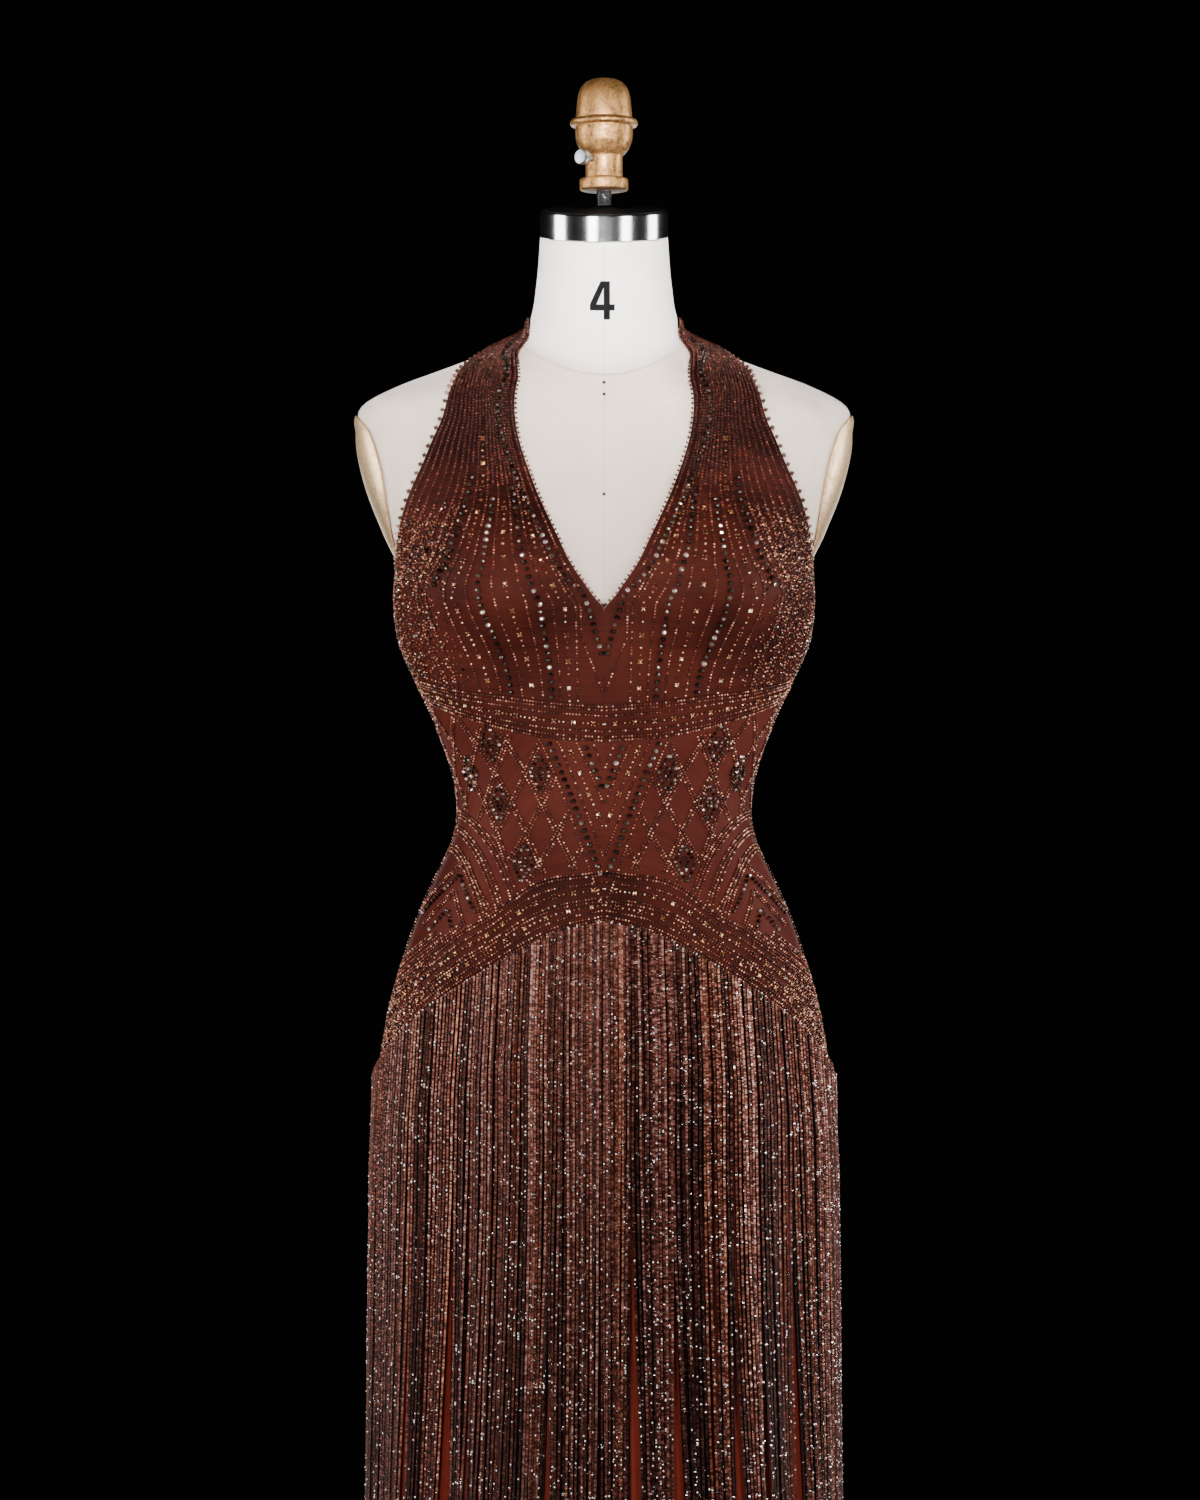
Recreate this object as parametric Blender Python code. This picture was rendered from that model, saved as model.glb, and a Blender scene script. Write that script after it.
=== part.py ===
"""A beaded halter evening gown with a long bead fringe, on a limbless dress form and its stand.

Metres, +Z up. The origin is on the floor, under the middle of the round base. The front faces -Y, and
left is the gown's own left, +X. A place on the form is an angle round it, from 0 at the front to 180 at
the back and positive to the left, and a level, which is the height before the neck's forward tilt.
"""
import math

import bpy
import numpy as np

for old in list(bpy.data.objects):
    bpy.data.objects.remove(old, do_unlink=True)

# Driving sizes
SEAM = 0.0003
CLOTH_GAP = 0.0017
CLOTH_WALL = 0.0015
STRAP_SEAT = 0.0014
FORM_INSET = 0.0012
FORM_BOTTOM = 0.800
NECK_TOP = 1.542
NECK_LEAN_Y = -0.012
ZIP_HALF = 0.0035
ZIP_TOP_DROP, ZIP_SLIDER_DROP = 0.004, 0.006
ZIP_SLIDER_SIZE, ZIP_SLIDER_CLEAR = (0.0068, 0.0026, 0.0085), 0.0010
ZIP_PULL_LONG, ZIP_PULL_HALF, ZIP_PULL_THICK, ZIP_PULL_CLEAR = 0.022, 0.0034, 0.0012, 0.0005
HALF_COLUMNS = 20
# Half a seam's width as an angle, where the cloth is 0.15 m from the axis.
HALF_SEAM_ANGLE = math.degrees(SEAM / 2 / 0.15)

# The form's cross-sections: half width, depth to the front and to the back, squareness of the outline,
# and the forward tilt of the section as a slope.
FORM_SECTIONS = np.array([
    # level, half_width, front, back, square, tilt
    (0.800, 0.1715, 0.1020, 0.1290, 2.20, 0.00),
    (0.820, 0.1740, 0.1050, 0.1335, 2.20, 0.00),
    (0.850, 0.1750, 0.1065, 0.1355, 2.20, 0.00),
    (0.880, 0.1735, 0.1070, 0.1360, 2.20, 0.00),
    (0.911, 0.1690, 0.1070, 0.1340, 2.20, 0.00),
    (0.943, 0.1630, 0.1060, 0.1290, 2.20, 0.00),
    (0.974, 0.1540, 0.1040, 0.1210, 2.15, 0.00),
    (1.005, 0.1435, 0.1010, 0.1110, 2.10, 0.00),
    (1.037, 0.1295, 0.0970, 0.1000, 2.10, 0.00),
    (1.068, 0.1150, 0.0930, 0.0920, 2.10, 0.00),
    (1.084, 0.1115, 0.0920, 0.0905, 2.10, 0.00),
    (1.100, 0.1115, 0.0920, 0.0900, 2.10, 0.00),
    (1.131, 0.1180, 0.0940, 0.0920, 2.10, 0.00),
    (1.163, 0.1300, 0.0970, 0.0940, 2.15, 0.00),
    (1.194, 0.1440, 0.1000, 0.0960, 2.20, 0.00),
    (1.225, 0.1570, 0.1030, 0.0980, 2.30, 0.00),
    (1.255, 0.1605, 0.1040, 0.1000, 2.40, 0.00),
    (1.285, 0.1600, 0.1030, 0.1010, 2.50, 0.00),
    (1.310, 0.1690, 0.1000, 0.1010, 2.60, 0.00),
    (1.350, 0.1835, 0.0930, 0.0990, 2.60, 0.00),
    (1.385, 0.1905, 0.0860, 0.0950, 2.40, 0.00),
    (1.410, 0.1880, 0.0800, 0.0900, 2.20, 0.00),
    (1.425, 0.1600, 0.0760, 0.0850, 2.05, 0.06),
    (1.440, 0.1200, 0.0720, 0.0770, 2.00, 0.13),
    (1.452, 0.0880, 0.0680, 0.0680, 2.00, 0.21),
    (1.463, 0.0640, 0.0650, 0.0600, 2.00, 0.28),
    (1.480, 0.0570, 0.0620, 0.0520, 2.00, 0.27),
    (1.505, 0.0530, 0.0610, 0.0450, 2.00, 0.25),
    (1.542, 0.0500, 0.0620, 0.0380, 2.00, 0.215),
])
BUST_LEVEL, BUST_ANGLE, BUST_HEIGHT = 1.262, 35.0, 0.030
BUST_SPREAD_UP, BUST_SPREAD_DOWN, BUST_SPREAD_ROUND = 0.060, 0.040, 24.0

# Heights of the form's rings, closer where it turns most: the waist, the bust and the neck's root.
FORM_COLUMNS = 36
FORM_LEVELS = (
    0.800, 0.845, 0.890, 0.930, 0.970, 1.010, 1.045, 1.066, 1.084, 1.102, 1.125, 1.160, 1.200,
    1.235, 1.262, 1.290, 1.320, 1.355, 1.385, 1.410, 1.425, 1.440, 1.4465, 1.452, 1.4575, 1.463,
    1.4715, 1.480, 1.505, 1.542,
)

# The skirt below the form: half width, depths, squareness and the height of its flutes.
SKIRT_SECTIONS = np.array([
    # level, half_width, front, back, square, flute
    (0.015, 0.3000, 0.2850, 0.3450, 2.00, 0.0150),
    (0.070, 0.2800, 0.2620, 0.3180, 2.00, 0.0125),
    (0.130, 0.2570, 0.2360, 0.2870, 2.00, 0.0098),
    (0.200, 0.2310, 0.2060, 0.2500, 2.02, 0.0068),
    (0.280, 0.2060, 0.1750, 0.2090, 2.05, 0.0038),
    (0.370, 0.1895, 0.1470, 0.1710, 2.10, 0.0014),
    (0.460, 0.1820, 0.1300, 0.1480, 2.15, 0.0),
    (0.570, 0.1798, 0.1195, 0.1400, 2.20, 0.0),
    (0.680, 0.1786, 0.1135, 0.1382, 2.20, 0.0),
    (0.790, 0.1774, 0.1095, 0.1374, 2.20, 0.0),
    (0.850, 0.1767, 0.1082, 0.1372, 2.20, 0.0),
])
FLUTES, FLUTE_DRIFT = 8, 0.5
SKIRT_TAKES_OVER, SKIRT_OVER_FORM = 0.850, 0.0017
UPPER_SKIRT_ROWS = 3

# Seams across the body, as the level at each angle from the front.
UNDERBUST_SEAM = np.array([
    # angle, level
    (0, 1.1734), (27, 1.1774), (42, 1.1816), (58, 1.1859), (71, 1.1911), (90, 1.1980),
])
BAND_SEAM = np.array([
    # angle, level
    (0, 1.1454), (28, 1.1493), (45, 1.1564), (61, 1.1660), (71, 1.1726), (90, 1.1830),
])
HIP_BAND_TOP = np.array([
    # angle, level
    (0, 1.0468), (6, 1.0453), (33, 1.0343), (47, 1.0118), (55, 1.0022), (64, 0.9860),
    (74, 0.9700), (90, 0.9520),
])
HIP_SEAM = np.array([
    # angle, level
    (0, 1.0100), (22, 0.9992), (34, 0.9865), (47.5, 0.9677), (60, 0.9460), (69, 0.9270),
    (79, 0.9020), (90, 0.8830), (110, 0.8640), (140, 0.8560), (180, 0.8620),
])
BACK_TOP = np.array([
    # angle, level
    (90, 1.2680), (100, 1.2540), (115, 1.2170), (130, 1.1830), (150, 1.1500), (180, 1.1330),
])

# The halter cup and its strap, from the seam under the bust up and round to the side of the neck.
CUP_ROWS = np.array([
    # inner_angle, inner_level, outer_angle, outer_level
    (0.0, 1.1734, 90.0, 1.1980),
    (0.0, 1.1950, 90.0, 1.2180),
    (0.0, 1.2170, 90.0, 1.2420),
    (0.0, 1.2428, 90.0, 1.2680),
    (5.0, 1.2560, 83.0, 1.2810),
    (8.9, 1.2670, 76.0, 1.2930),
    (13.3, 1.2810, 71.0, 1.3060),
    (17.8, 1.3000, 67.3, 1.3220),
    (22.5, 1.3180, 64.3, 1.3400),
    (28.0, 1.3380, 62.2, 1.3580),
    (33.5, 1.3600, 61.0, 1.3780),
    (37.8, 1.3800, 60.3, 1.3970),
    (40.5, 1.3980, 61.5, 1.4120),
    (42.3, 1.4150, 65.0, 1.4260),
    (44.5, 1.4310, 70.0, 1.4360),
    (50.0, 1.4440, 77.0, 1.4450),
    (60.0, 1.4550, 85.0, 1.4500),
    (70.0, 1.4640, 92.5, 1.4520),
    (79.0, 1.4705, 99.0, 1.4520),
    (88.0, 1.4740, 105.5, 1.4515),
    (96.0, 1.4760, 112.0, 1.4510),
])
CUP_COLUMNS = 10
# The strap's slanted end, where the band behind the neck starts: its lower and upper corner.
NECK_BAND_LEVELS = (1.4510, 1.4760)
NECK_BAND_STARTS = (112.0, 96.0)
NECK_SEAM_ANGLE = 0.45

# Bead fringe: a narrow strip on the skirt just below the hip seam, and strands of three sides.
STRIP_HEIGHT = 0.008
STRIP_WALL = 0.0024
STRIP_SPLAY = 0.0009
STRANDS_PER_SIDE = 76
STRAND_HALF, STRAND_DEEP = 0.0017, 0.0022
STRAND_STATIONS = (0.855, 0.480, 0.270, 0.020)
STRAND_CLEAR_TOP, STRAND_CLEAR_HEM = 0.0018, 0.0050
LONGEST_FIRST_RUN, SHORTEST_RUN = 0.060, 0.012

# The oval plates over the armholes, as rings: share of the way out and thickness.
PLATE_LEVEL, PLATE_HALF_HEIGHT, PLATE_HALF_ANGLE, PLATE_SEAT = 1.345, 0.056, 15.5, 0.0001
PLATE_RINGS = np.array([(0.0, 0.0050), (0.45, 0.0048), (0.80, 0.0038), (1.0, 0.0016)])

# The neck band's button: its angle, and how far off the cloth it is seated.
BUTTON_ANGLE, BUTTON_SEAT = 126.0, 0.0014
BUTTON_PROFILE = ((0.0055, 0.0), (0.0065, 0.0012), (0.0058, 0.0028), (0.0035, 0.0040), (0.0012, 0.0045))

# Turned pieces, as radius and height above the piece's foot.
FINIAL_PROFILE = (
    (0.0184, 0.0000), (0.0190, 0.0008), (0.0190, 0.0080), (0.0180, 0.0090), (0.0145, 0.0093),
    (0.0145, 0.0265), (0.0160, 0.0285), (0.0185, 0.0312), (0.0204, 0.0346), (0.0221, 0.0398),
    (0.0226, 0.0466), (0.0225, 0.0496), (0.0252, 0.0500), (0.0266, 0.0524), (0.0252, 0.0552),
    (0.0221, 0.0560), (0.0214, 0.0645), (0.0205, 0.0730), (0.0182, 0.0800), (0.0145, 0.0843),
    (0.0090, 0.0866), (0.0020, 0.0874),
)
FINIAL_STEM = 0.0145
CAP_THICK, CAP_RADIUS = 0.0222, 0.0497
CAP_PROFILE = (
    (CAP_RADIUS - 0.001, 0.0), (CAP_RADIUS, 0.001), (CAP_RADIUS, CAP_THICK - 0.001),
    (CAP_RADIUS - 0.0012, CAP_THICK),
)
ROD_RADIUS, ROD_TOP = 0.0058, 1.5761
# The screw's height, and how far it is turned from the front towards the gown's right.
THUMB_HEIGHT, THUMB_TURN = 1.5997, 42.0
THUMB_PROFILE = (
    (0.0028, 0.0), (0.0028, 0.007), (0.0055, 0.0075), (0.0060, 0.0085), (0.0060, 0.0125),
    (0.0055, 0.0135),
)

# The stand's turned pieces, as radius and height above the floor.
BASE_PROFILE = ((0.187, 0.0), (0.190, 0.003), (0.190, 0.010), (0.186, 0.014))
SOCKET_PROFILE = (
    (0.034, 0.014 + SEAM), (0.034, 0.022), (0.026, 0.030), (0.026, 0.050), (0.0235, 0.053),
)
POLE_PROFILE = ((0.016, 0.053 + SEAM), (0.016, 0.770 - SEAM))
FLANGE_PROFILE = ((0.022, 0.770), (0.022, 0.790), (0.060, 0.794), (0.060, FORM_BOTTOM - SEAM))


def between(table, column, at):
    """The table's column at these keys, on a smooth curve through its rows."""
    keys, values = table[:, 0], table[:, column]
    at = np.clip(at, keys[0], keys[-1])
    steps = np.diff(keys)
    rises = np.diff(values) / steps
    slopes = np.empty_like(values)
    slopes[0], slopes[-1] = rises[0], rises[-1]
    slopes[1:-1] = (rises[:-1] * steps[1:] + rises[1:] * steps[:-1]) / (steps[1:] + steps[:-1])
    row = np.clip(np.searchsorted(keys, at) - 1, 0, len(keys) - 2)
    step = keys[row + 1] - keys[row]
    t = (at - keys[row]) / step
    start = (2 * t**3 - 3 * t**2 + 1) * values[row] + (t**3 - 2 * t**2 + t) * step * slopes[row]
    end = (3 * t**2 - 2 * t**3) * values[row + 1] + (t**3 - t**2) * step * slopes[row + 1]
    return start + end


def seam_level(table, angle):
    """A seam's level at this angle, the same on both sides."""
    return between(table, 1, np.abs(angle))


def wrap(angle):
    """Angles past the back brought round to the other side."""
    return np.where(angle > 180, angle - 360, angle)


def outline(half_width, front, back, square, angle):
    """Distance from the axis of a rounded section whose depth differs front and back."""
    turn = np.radians(angle)
    depth = np.where(np.cos(turn) > 0, front, back)
    across = np.abs(np.sin(turn)) / half_width
    along = np.abs(np.cos(turn)) / depth
    return (across**square + along**square) ** (-1 / square)


def form_radius(angle, level):
    """The form's distance from the axis, with the bust added as two soft mounds."""
    sizes = [between(FORM_SECTIONS, column, level) for column in (1, 2, 3, 4)]
    spread = np.where(level > BUST_LEVEL, BUST_SPREAD_UP, BUST_SPREAD_DOWN)
    rise = np.exp(-(((level - BUST_LEVEL) / spread) ** 2))
    round_rise = np.exp(-(((np.abs(angle) - BUST_ANGLE) / BUST_SPREAD_ROUND) ** 2))
    return outline(*sizes, angle) + BUST_HEIGHT * rise * round_rise


def skirt_radius(angle, level):
    """The skirt's inner distance from the axis, with flutes that grow towards the hem."""
    sizes = [between(SKIRT_SECTIONS, column, level) for column in (1, 2, 3, 4)]
    turn = np.radians(angle)
    wave = np.cos(FLUTES * turn + FLUTE_DRIFT * np.sin(3 * turn))
    return outline(*sizes, angle) + between(SKIRT_SECTIONS, 5, level) * wave


def garment_radius(angle, level):
    """The surface that the cloth follows: the form above, the skirt's own sections below."""
    upper = form_radius(angle, np.maximum(level, SKIRT_TAKES_OVER))
    return np.where(level >= SKIRT_TAKES_OVER, upper, skirt_radius(angle, level) - SKIRT_OVER_FORM)


def surface(radius_of, angle, level, offset=0.0):
    """Points at these angles and levels, moved out along the surface's own normal by the offset."""
    angle, level = np.broadcast_arrays(np.asarray(angle, float), np.asarray(level, float))

    def place(a, h):
        radius = radius_of(a, h)
        turn = np.radians(a)
        tilt = between(FORM_SECTIONS, 5, h)
        x, y = radius * np.sin(turn), -radius * np.cos(turn)
        return np.stack([x, y, h + tilt * y], axis=-1)

    turn_step, rise_step = 0.01, 0.0002
    across = place(angle + turn_step, level) - place(angle - turn_step, level)
    up = place(angle, level + rise_step) - place(angle, level - rise_step)
    normal = np.cross(across, up)
    normal /= np.linalg.norm(normal, axis=-1, keepdims=True)
    return place(angle, level) + np.asarray(offset)[..., None] * normal


def material(name, colour, roughness, metallic=0.0):
    made = bpy.data.materials.new(name)
    made.use_nodes = True
    shader = made.node_tree.nodes["Principled BSDF"]
    shader.inputs["Base Color"].default_value = (*colour, 1.0)
    shader.inputs["Roughness"].default_value = roughness
    shader.inputs["Metallic"].default_value = metallic
    return made


SATIN = dict(colour=(0.12, 0.032, 0.022), roughness=0.38)
BEADS = dict(colour=(0.105, 0.043, 0.034), roughness=0.30, metallic=0.5)
LINEN = dict(colour=(0.72, 0.66, 0.62), roughness=0.85)
STEEL = dict(colour=(0.42, 0.42, 0.42), roughness=0.35, metallic=1.0)
GILT = dict(colour=(0.55, 0.36, 0.20), roughness=0.40, metallic=1.0)
IRON = dict(colour=(0.03, 0.03, 0.032), roughness=0.5, metallic=0.3)


def add_solid(name, points, faces, look, flat_angle=35.0):
    """An object from points and faces, turned to face outwards, under the given finish."""
    points = np.asarray(points, float)
    volume = 0.0
    for face in faces:
        for second, third in zip(face[1:-1], face[2:]):
            volume += np.dot(points[face[0]], np.cross(points[second], points[third]))
    if volume < 0:
        faces = [tuple(reversed(face)) for face in faces]
    mesh = bpy.data.meshes.new(name)
    mesh.from_pydata([tuple(point) for point in points], [], [tuple(face) for face in faces])
    mesh.validate()
    mesh.shade_smooth()
    mesh.set_sharp_from_angle(angle=math.radians(flat_angle))
    mesh.materials.append(material(name, **look))
    made = bpy.data.objects.new(name, mesh)
    bpy.context.scene.collection.objects.link(made)
    return made


def grid_faces(rows, columns, first=0, wraps=False):
    """Quads of a grid of points numbered row by row."""
    faces = []
    for row in range(rows - 1):
        for column in range(columns if wraps else columns - 1):
            after = (column + 1) % columns
            lower, upper = first + row * columns, first + (row + 1) * columns
            faces.append((lower + column, lower + after, upper + after, upper + column))
    return faces


def add_wall(name, inner, outer, look):
    """A closed wall between two grids of points of one size."""
    rows, columns, _ = inner.shape
    count = rows * columns
    faces = grid_faces(rows, columns)
    faces += [tuple(count + index for index in reversed(face)) for face in faces]
    rim = [(0, column) for column in range(columns)]
    rim += [(row, columns - 1) for row in range(1, rows)]
    rim += [(rows - 1, column) for column in range(columns - 2, -1, -1)]
    rim += [(row, 0) for row in range(rows - 2, 0, -1)]
    edge = [row * columns + column for row, column in rim]
    for here, after in zip(edge, edge[1:] + edge[:1]):
        faces.append((after, here, count + here, count + after))
    points = np.concatenate([inner.reshape(-1, 3), outer.reshape(-1, 3)])
    return add_solid(name, points, faces, look)


def add_panel(name, angle, level, look, gap=CLOTH_GAP, wall=CLOTH_WALL, radius_of=garment_radius):
    """A cloth wall on the garment's surface over a grid of angles and levels."""
    gap = np.broadcast_to(gap, angle.shape)
    inner = surface(radius_of, angle, level, gap)
    outer = surface(radius_of, angle, level, gap + wall)
    return add_wall(name, inner, outer, look)


def add_turned(name, profile, foot, axis, look, segments=24):
    """A body turned from radii and heights about an axis through the foot, closed by flat ends."""
    axis = np.asarray(axis, float) / np.linalg.norm(axis)
    side = np.cross(axis, (0.0, 1.0, 0.0) if abs(axis[1]) < 0.9 else (1.0, 0.0, 0.0))
    side /= np.linalg.norm(side)
    other = np.cross(axis, side)
    turn = np.arange(segments) * 2 * math.pi / segments
    ring = np.cos(turn)[:, None] * side + np.sin(turn)[:, None] * other
    radius, height = np.asarray(profile, float).T
    points = radius[:, None, None] * ring + height[:, None, None] * axis + np.asarray(foot, float)
    rows = len(profile)
    faces = grid_faces(rows, segments, wraps=True)
    faces.append(tuple(reversed(range(segments))))
    faces.append(tuple(range((rows - 1) * segments, rows * segments)))
    return add_solid(name, points.reshape(-1, 3), faces, look)


def edge_angle(level, side, width, angle):
    """The angle that lies this width to one side of the line at the given angle, on the cloth."""
    reach = garment_radius(np.full_like(level, angle), level)
    return angle + side * np.degrees(width / reach)


def add_form():
    """The linen-covered body: rings up to the neck, with a flat foot and a flat tilted top.

    Below the shoulders it stands back a little, so that the cloth lies clear of it.
    """
    angles = wrap(np.arange(FORM_COLUMNS) * 360.0 / FORM_COLUMNS)
    levels = np.array(FORM_LEVELS)
    inset = -FORM_INSET * np.interp(levels, (FORM_LEVELS[0], 1.34, 1.42), (1, 1, 0))
    points = surface(form_radius, angles[None, :], levels[:, None], inset[:, None])
    points[0, :, 2] = FORM_BOTTOM
    rows, columns, _ = points.shape
    faces = grid_faces(rows, columns, wraps=True)
    faces.append(tuple(reversed(range(columns))))
    faces.append(tuple(range((rows - 1) * columns, rows * columns)))
    add_solid("form_body", points.reshape(-1, 3), faces, LINEN)


def add_arm_plate(name, side):
    """The dished plate over an armhole: an oval of the form's own points, moved out."""
    spokes = 20
    turn = np.arange(spokes) * 2 * math.pi / spokes
    share, thick = PLATE_RINGS[1:, 0][:, None], PLATE_RINGS[1:, 1][:, None]
    angle = side * (90 + PLATE_HALF_ANGLE * share * np.sin(turn))
    level = PLATE_LEVEL + PLATE_HALF_HEIGHT * share * np.cos(turn)
    inner = surface(form_radius, angle, level, np.full(angle.shape, PLATE_SEAT))
    outer = surface(form_radius, angle, level, np.broadcast_to(PLATE_SEAT + thick, angle.shape))
    hubs = [surface(form_radius, side * 90.0, PLATE_LEVEL, PLATE_SEAT + lift)
            for lift in (0.0, PLATE_RINGS[0, 1])]
    count = inner.shape[0] * spokes
    faces = grid_faces(inner.shape[0], spokes, wraps=True)
    faces += [tuple(count + index for index in reversed(face)) for face in faces]
    last = (inner.shape[0] - 1) * spokes
    for spoke in range(spokes):
        after = (spoke + 1) % spokes
        faces.append((last + spoke, last + after, count + last + after, count + last + spoke))
        faces.append((2 * count, after, spoke))
        faces.append((2 * count + 1, count + spoke, count + after))
    points = np.concatenate([inner.reshape(-1, 3), outer.reshape(-1, 3), hubs])
    add_solid(name, points, faces, GILT)


def add_neck_and_finial():
    """The ring over the neck, the rod through it, the turned finial and the screw that locks it."""
    slope = FORM_SECTIONS[-1, 5]
    axis = np.array([0.0, -slope, 1.0]) / math.hypot(slope, 1.0)
    foot = np.array([0.0, NECK_LEAN_Y, NECK_TOP + slope * NECK_LEAN_Y]) + SEAM * axis
    add_turned("neck_cap", CAP_PROFILE, foot, axis, STEEL, segments=36)
    rod_foot = foot[2] + CAP_THICK / axis[2] + ROD_RADIUS * slope + SEAM
    rod = ((ROD_RADIUS, rod_foot), (ROD_RADIUS, ROD_TOP))
    add_turned("neck_rod", rod, (0, NECK_LEAN_Y, 0), (0, 0, 1), STEEL, segments=16)
    add_turned("finial", FINIAL_PROFILE, (0, NECK_LEAN_Y, ROD_TOP + SEAM), (0, 0, 1), GILT, segments=18)
    turn = math.radians(THUMB_TURN)
    way = np.array([-math.sin(turn), -math.cos(turn), 0.0])
    thumb = add_turned("thumb_screw", THUMB_PROFILE, (0, 0, 0), way, STEEL, segments=12)
    thumb.location = np.array([0.0, NECK_LEAN_Y, THUMB_HEIGHT]) + (FINIAL_STEM + SEAM) * way


def add_stand():
    """A round base, its socket, the pole, and the flange under the body."""
    add_turned("base", BASE_PROFILE, (0, 0, 0), (0, 0, 1), IRON, segments=40)
    add_turned("pole_socket", SOCKET_PROFILE, (0, 0, 0), (0, 0, 1), IRON)
    add_turned("pole", POLE_PROFILE, (0, 0, 0), (0, 0, 1), STEEL)
    add_turned("form_flange", FLANGE_PROFILE, (0, 0, 0), (0, 0, 1), IRON)


def add_cup(name, side):
    """One halter cup with its strap: each row runs from the neckline to the armhole or side seam."""
    rows = len(CUP_ROWS)
    inner_angle, inner_level, outer_angle, outer_level = CUP_ROWS.T
    centre = edge_angle(inner_level, 1, SEAM / 2, 0.0)
    inner_angle = np.maximum(inner_angle, centre)
    outer_angle = np.where(outer_angle == 90, edge_angle(outer_level, -1, SEAM / 2, 90.0), outer_angle)
    share = np.linspace(0, 1, CUP_COLUMNS + 1)
    angle = inner_angle[:, None] * (1 - share) + outer_angle[:, None] * share
    level = inner_level[:, None] * (1 - share) + outer_level[:, None] * share
    lift = np.clip(1 - np.arange(rows) / 3, 0, 1)[:, None]
    seam = seam_level(UNDERBUST_SEAM, angle) + SEAM / 2
    straight = inner_level[0] * (1 - share) + outer_level[0] * share
    level = level + lift * (seam - straight)
    seat = np.interp(np.arange(rows), (0, rows - 5, rows - 1), (CLOTH_GAP, CLOTH_GAP, STRAP_SEAT))
    gap = np.broadcast_to(seat[:, None], angle.shape)
    inner, outer = (surface(form_radius, angle, level, gap + thick) for thick in (0.0, CLOTH_WALL))
    for wall in (inner, outer):
        wall[..., 0] = side * np.maximum(wall[..., 0], SEAM / 2)
    add_wall(name, inner, outer, SATIN)


def add_neck_band():
    """The strap's stretch behind the neck, and the button that closes it on the left end."""
    level = np.linspace(*NECK_BAND_LEVELS, 5)[:, None]
    start = np.interp(level, NECK_BAND_LEVELS, NECK_BAND_STARTS) + NECK_SEAM_ANGLE
    angle = start + (360 - 2 * start) * np.linspace(0, 1, 17)
    add_panel("neck_band", wrap(angle), np.broadcast_to(level, angle.shape), SATIN, gap=STRAP_SEAT)
    middle = sum(NECK_BAND_LEVELS) / 2
    spot = surface(form_radius, BUTTON_ANGLE, middle, STRAP_SEAT + CLOTH_WALL)
    out = surface(form_radius, BUTTON_ANGLE, middle, 1.0) - spot
    out /= np.linalg.norm(out)
    add_turned("neck_button", BUTTON_PROFILE, spot + out * BUTTON_SEAT, out, SATIN, segments=14)


def half_angles(middle):
    """Evenly spaced angles over the front or the back half, half a seam short at each end."""
    return middle + np.linspace(-1, 1, HALF_COLUMNS + 1) * (90 - HALF_SEAM_ANGLE)


def front_grid(top, bottom, rows):
    """Angles and levels of a front panel between two seams."""
    angle = half_angles(0.0)
    high, low = seam_level(top, angle) - SEAM / 2, seam_level(bottom, angle) + SEAM / 2
    part = np.linspace(0, 1, rows)[:, None]
    return np.broadcast_to(angle, (rows, len(angle))), low + (high - low) * part


def add_fronts():
    add_panel("underbust_band", *front_grid(UNDERBUST_SEAM, BAND_SEAM, 2), SATIN)
    add_panel("midriff_front", *front_grid(BAND_SEAM, HIP_BAND_TOP, 6), SATIN)
    add_panel("hip_band_front", *front_grid(HIP_BAND_TOP, HIP_SEAM, 3), SATIN)


def add_backs():
    """Low backs from the side seams to the zip at the centre back, down to the hip seam."""
    rows = 15
    part = np.linspace(0, 1, rows)[:, None]
    share = np.linspace(0, 1, HALF_COLUMNS // 2 + 1)
    for name, side in (("back_left", 1), ("back_right", -1)):
        round_back = 90 + HALF_SEAM_ANGLE + (90 - HALF_SEAM_ANGLE) * share
        angle = np.broadcast_to(round_back, (rows, len(share))).copy()
        high, low = seam_level(BACK_TOP, angle[0]), seam_level(HIP_SEAM, angle[0]) + SEAM / 2
        level = low + (high - low) * part
        angle[:, -1] = edge_angle(level[:, -1], -1, ZIP_HALF + SEAM, 180.0)
        add_panel(name, side * angle, level, SATIN)


def add_zip():
    """The zip's tape between the backs, the slider near its top, and the pull that hangs from it."""
    top, bottom = BACK_TOP[-1, 1] - ZIP_TOP_DROP, HIP_SEAM[-1, 1] + SEAM / 2
    level = np.linspace(bottom, top, 11)[:, None]
    left = edge_angle(level, -1, ZIP_HALF, 180.0)
    both = np.concatenate([left, -left], axis=1)
    add_panel("zip_tape", both, np.broadcast_to(level, both.shape), SATIN)
    face = surface(garment_radius, 180.0, top - ZIP_SLIDER_DROP, CLOTH_GAP + CLOTH_WALL)
    front, high = face[1] + ZIP_SLIDER_CLEAR, face[2]
    _, thick, tall = ZIP_SLIDER_SIZE
    add_block("zip_slider", (0, front + thick / 2, high - tall / 2), ZIP_SLIDER_SIZE, GILT)
    half, stub, neck = ZIP_PULL_THICK / 2, 0.0007, 0.0014
    corner = ZIP_PULL_LONG - 0.004
    right_side = ((neck, stub), (0.0020, -0.004), (ZIP_PULL_HALF, -corner),
                  (ZIP_PULL_HALF - 0.001, -ZIP_PULL_LONG))
    edge = list(right_side) + [(-x, z) for x, z in reversed(right_side)]
    count = len(edge)
    points = [(x, y, z) for y in (-half, half) for x, z in edge]
    faces = [tuple(range(count)), tuple(reversed(range(count, 2 * count)))]
    for here in range(count):
        after = (here + 1) % count
        faces.append((after, here, count + here, count + after))
    pull = add_solid("zip_pull", points, faces, GILT)
    pull.location = (0.0, front + thick + ZIP_PULL_CLEAR + half, high - 0.002)


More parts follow.
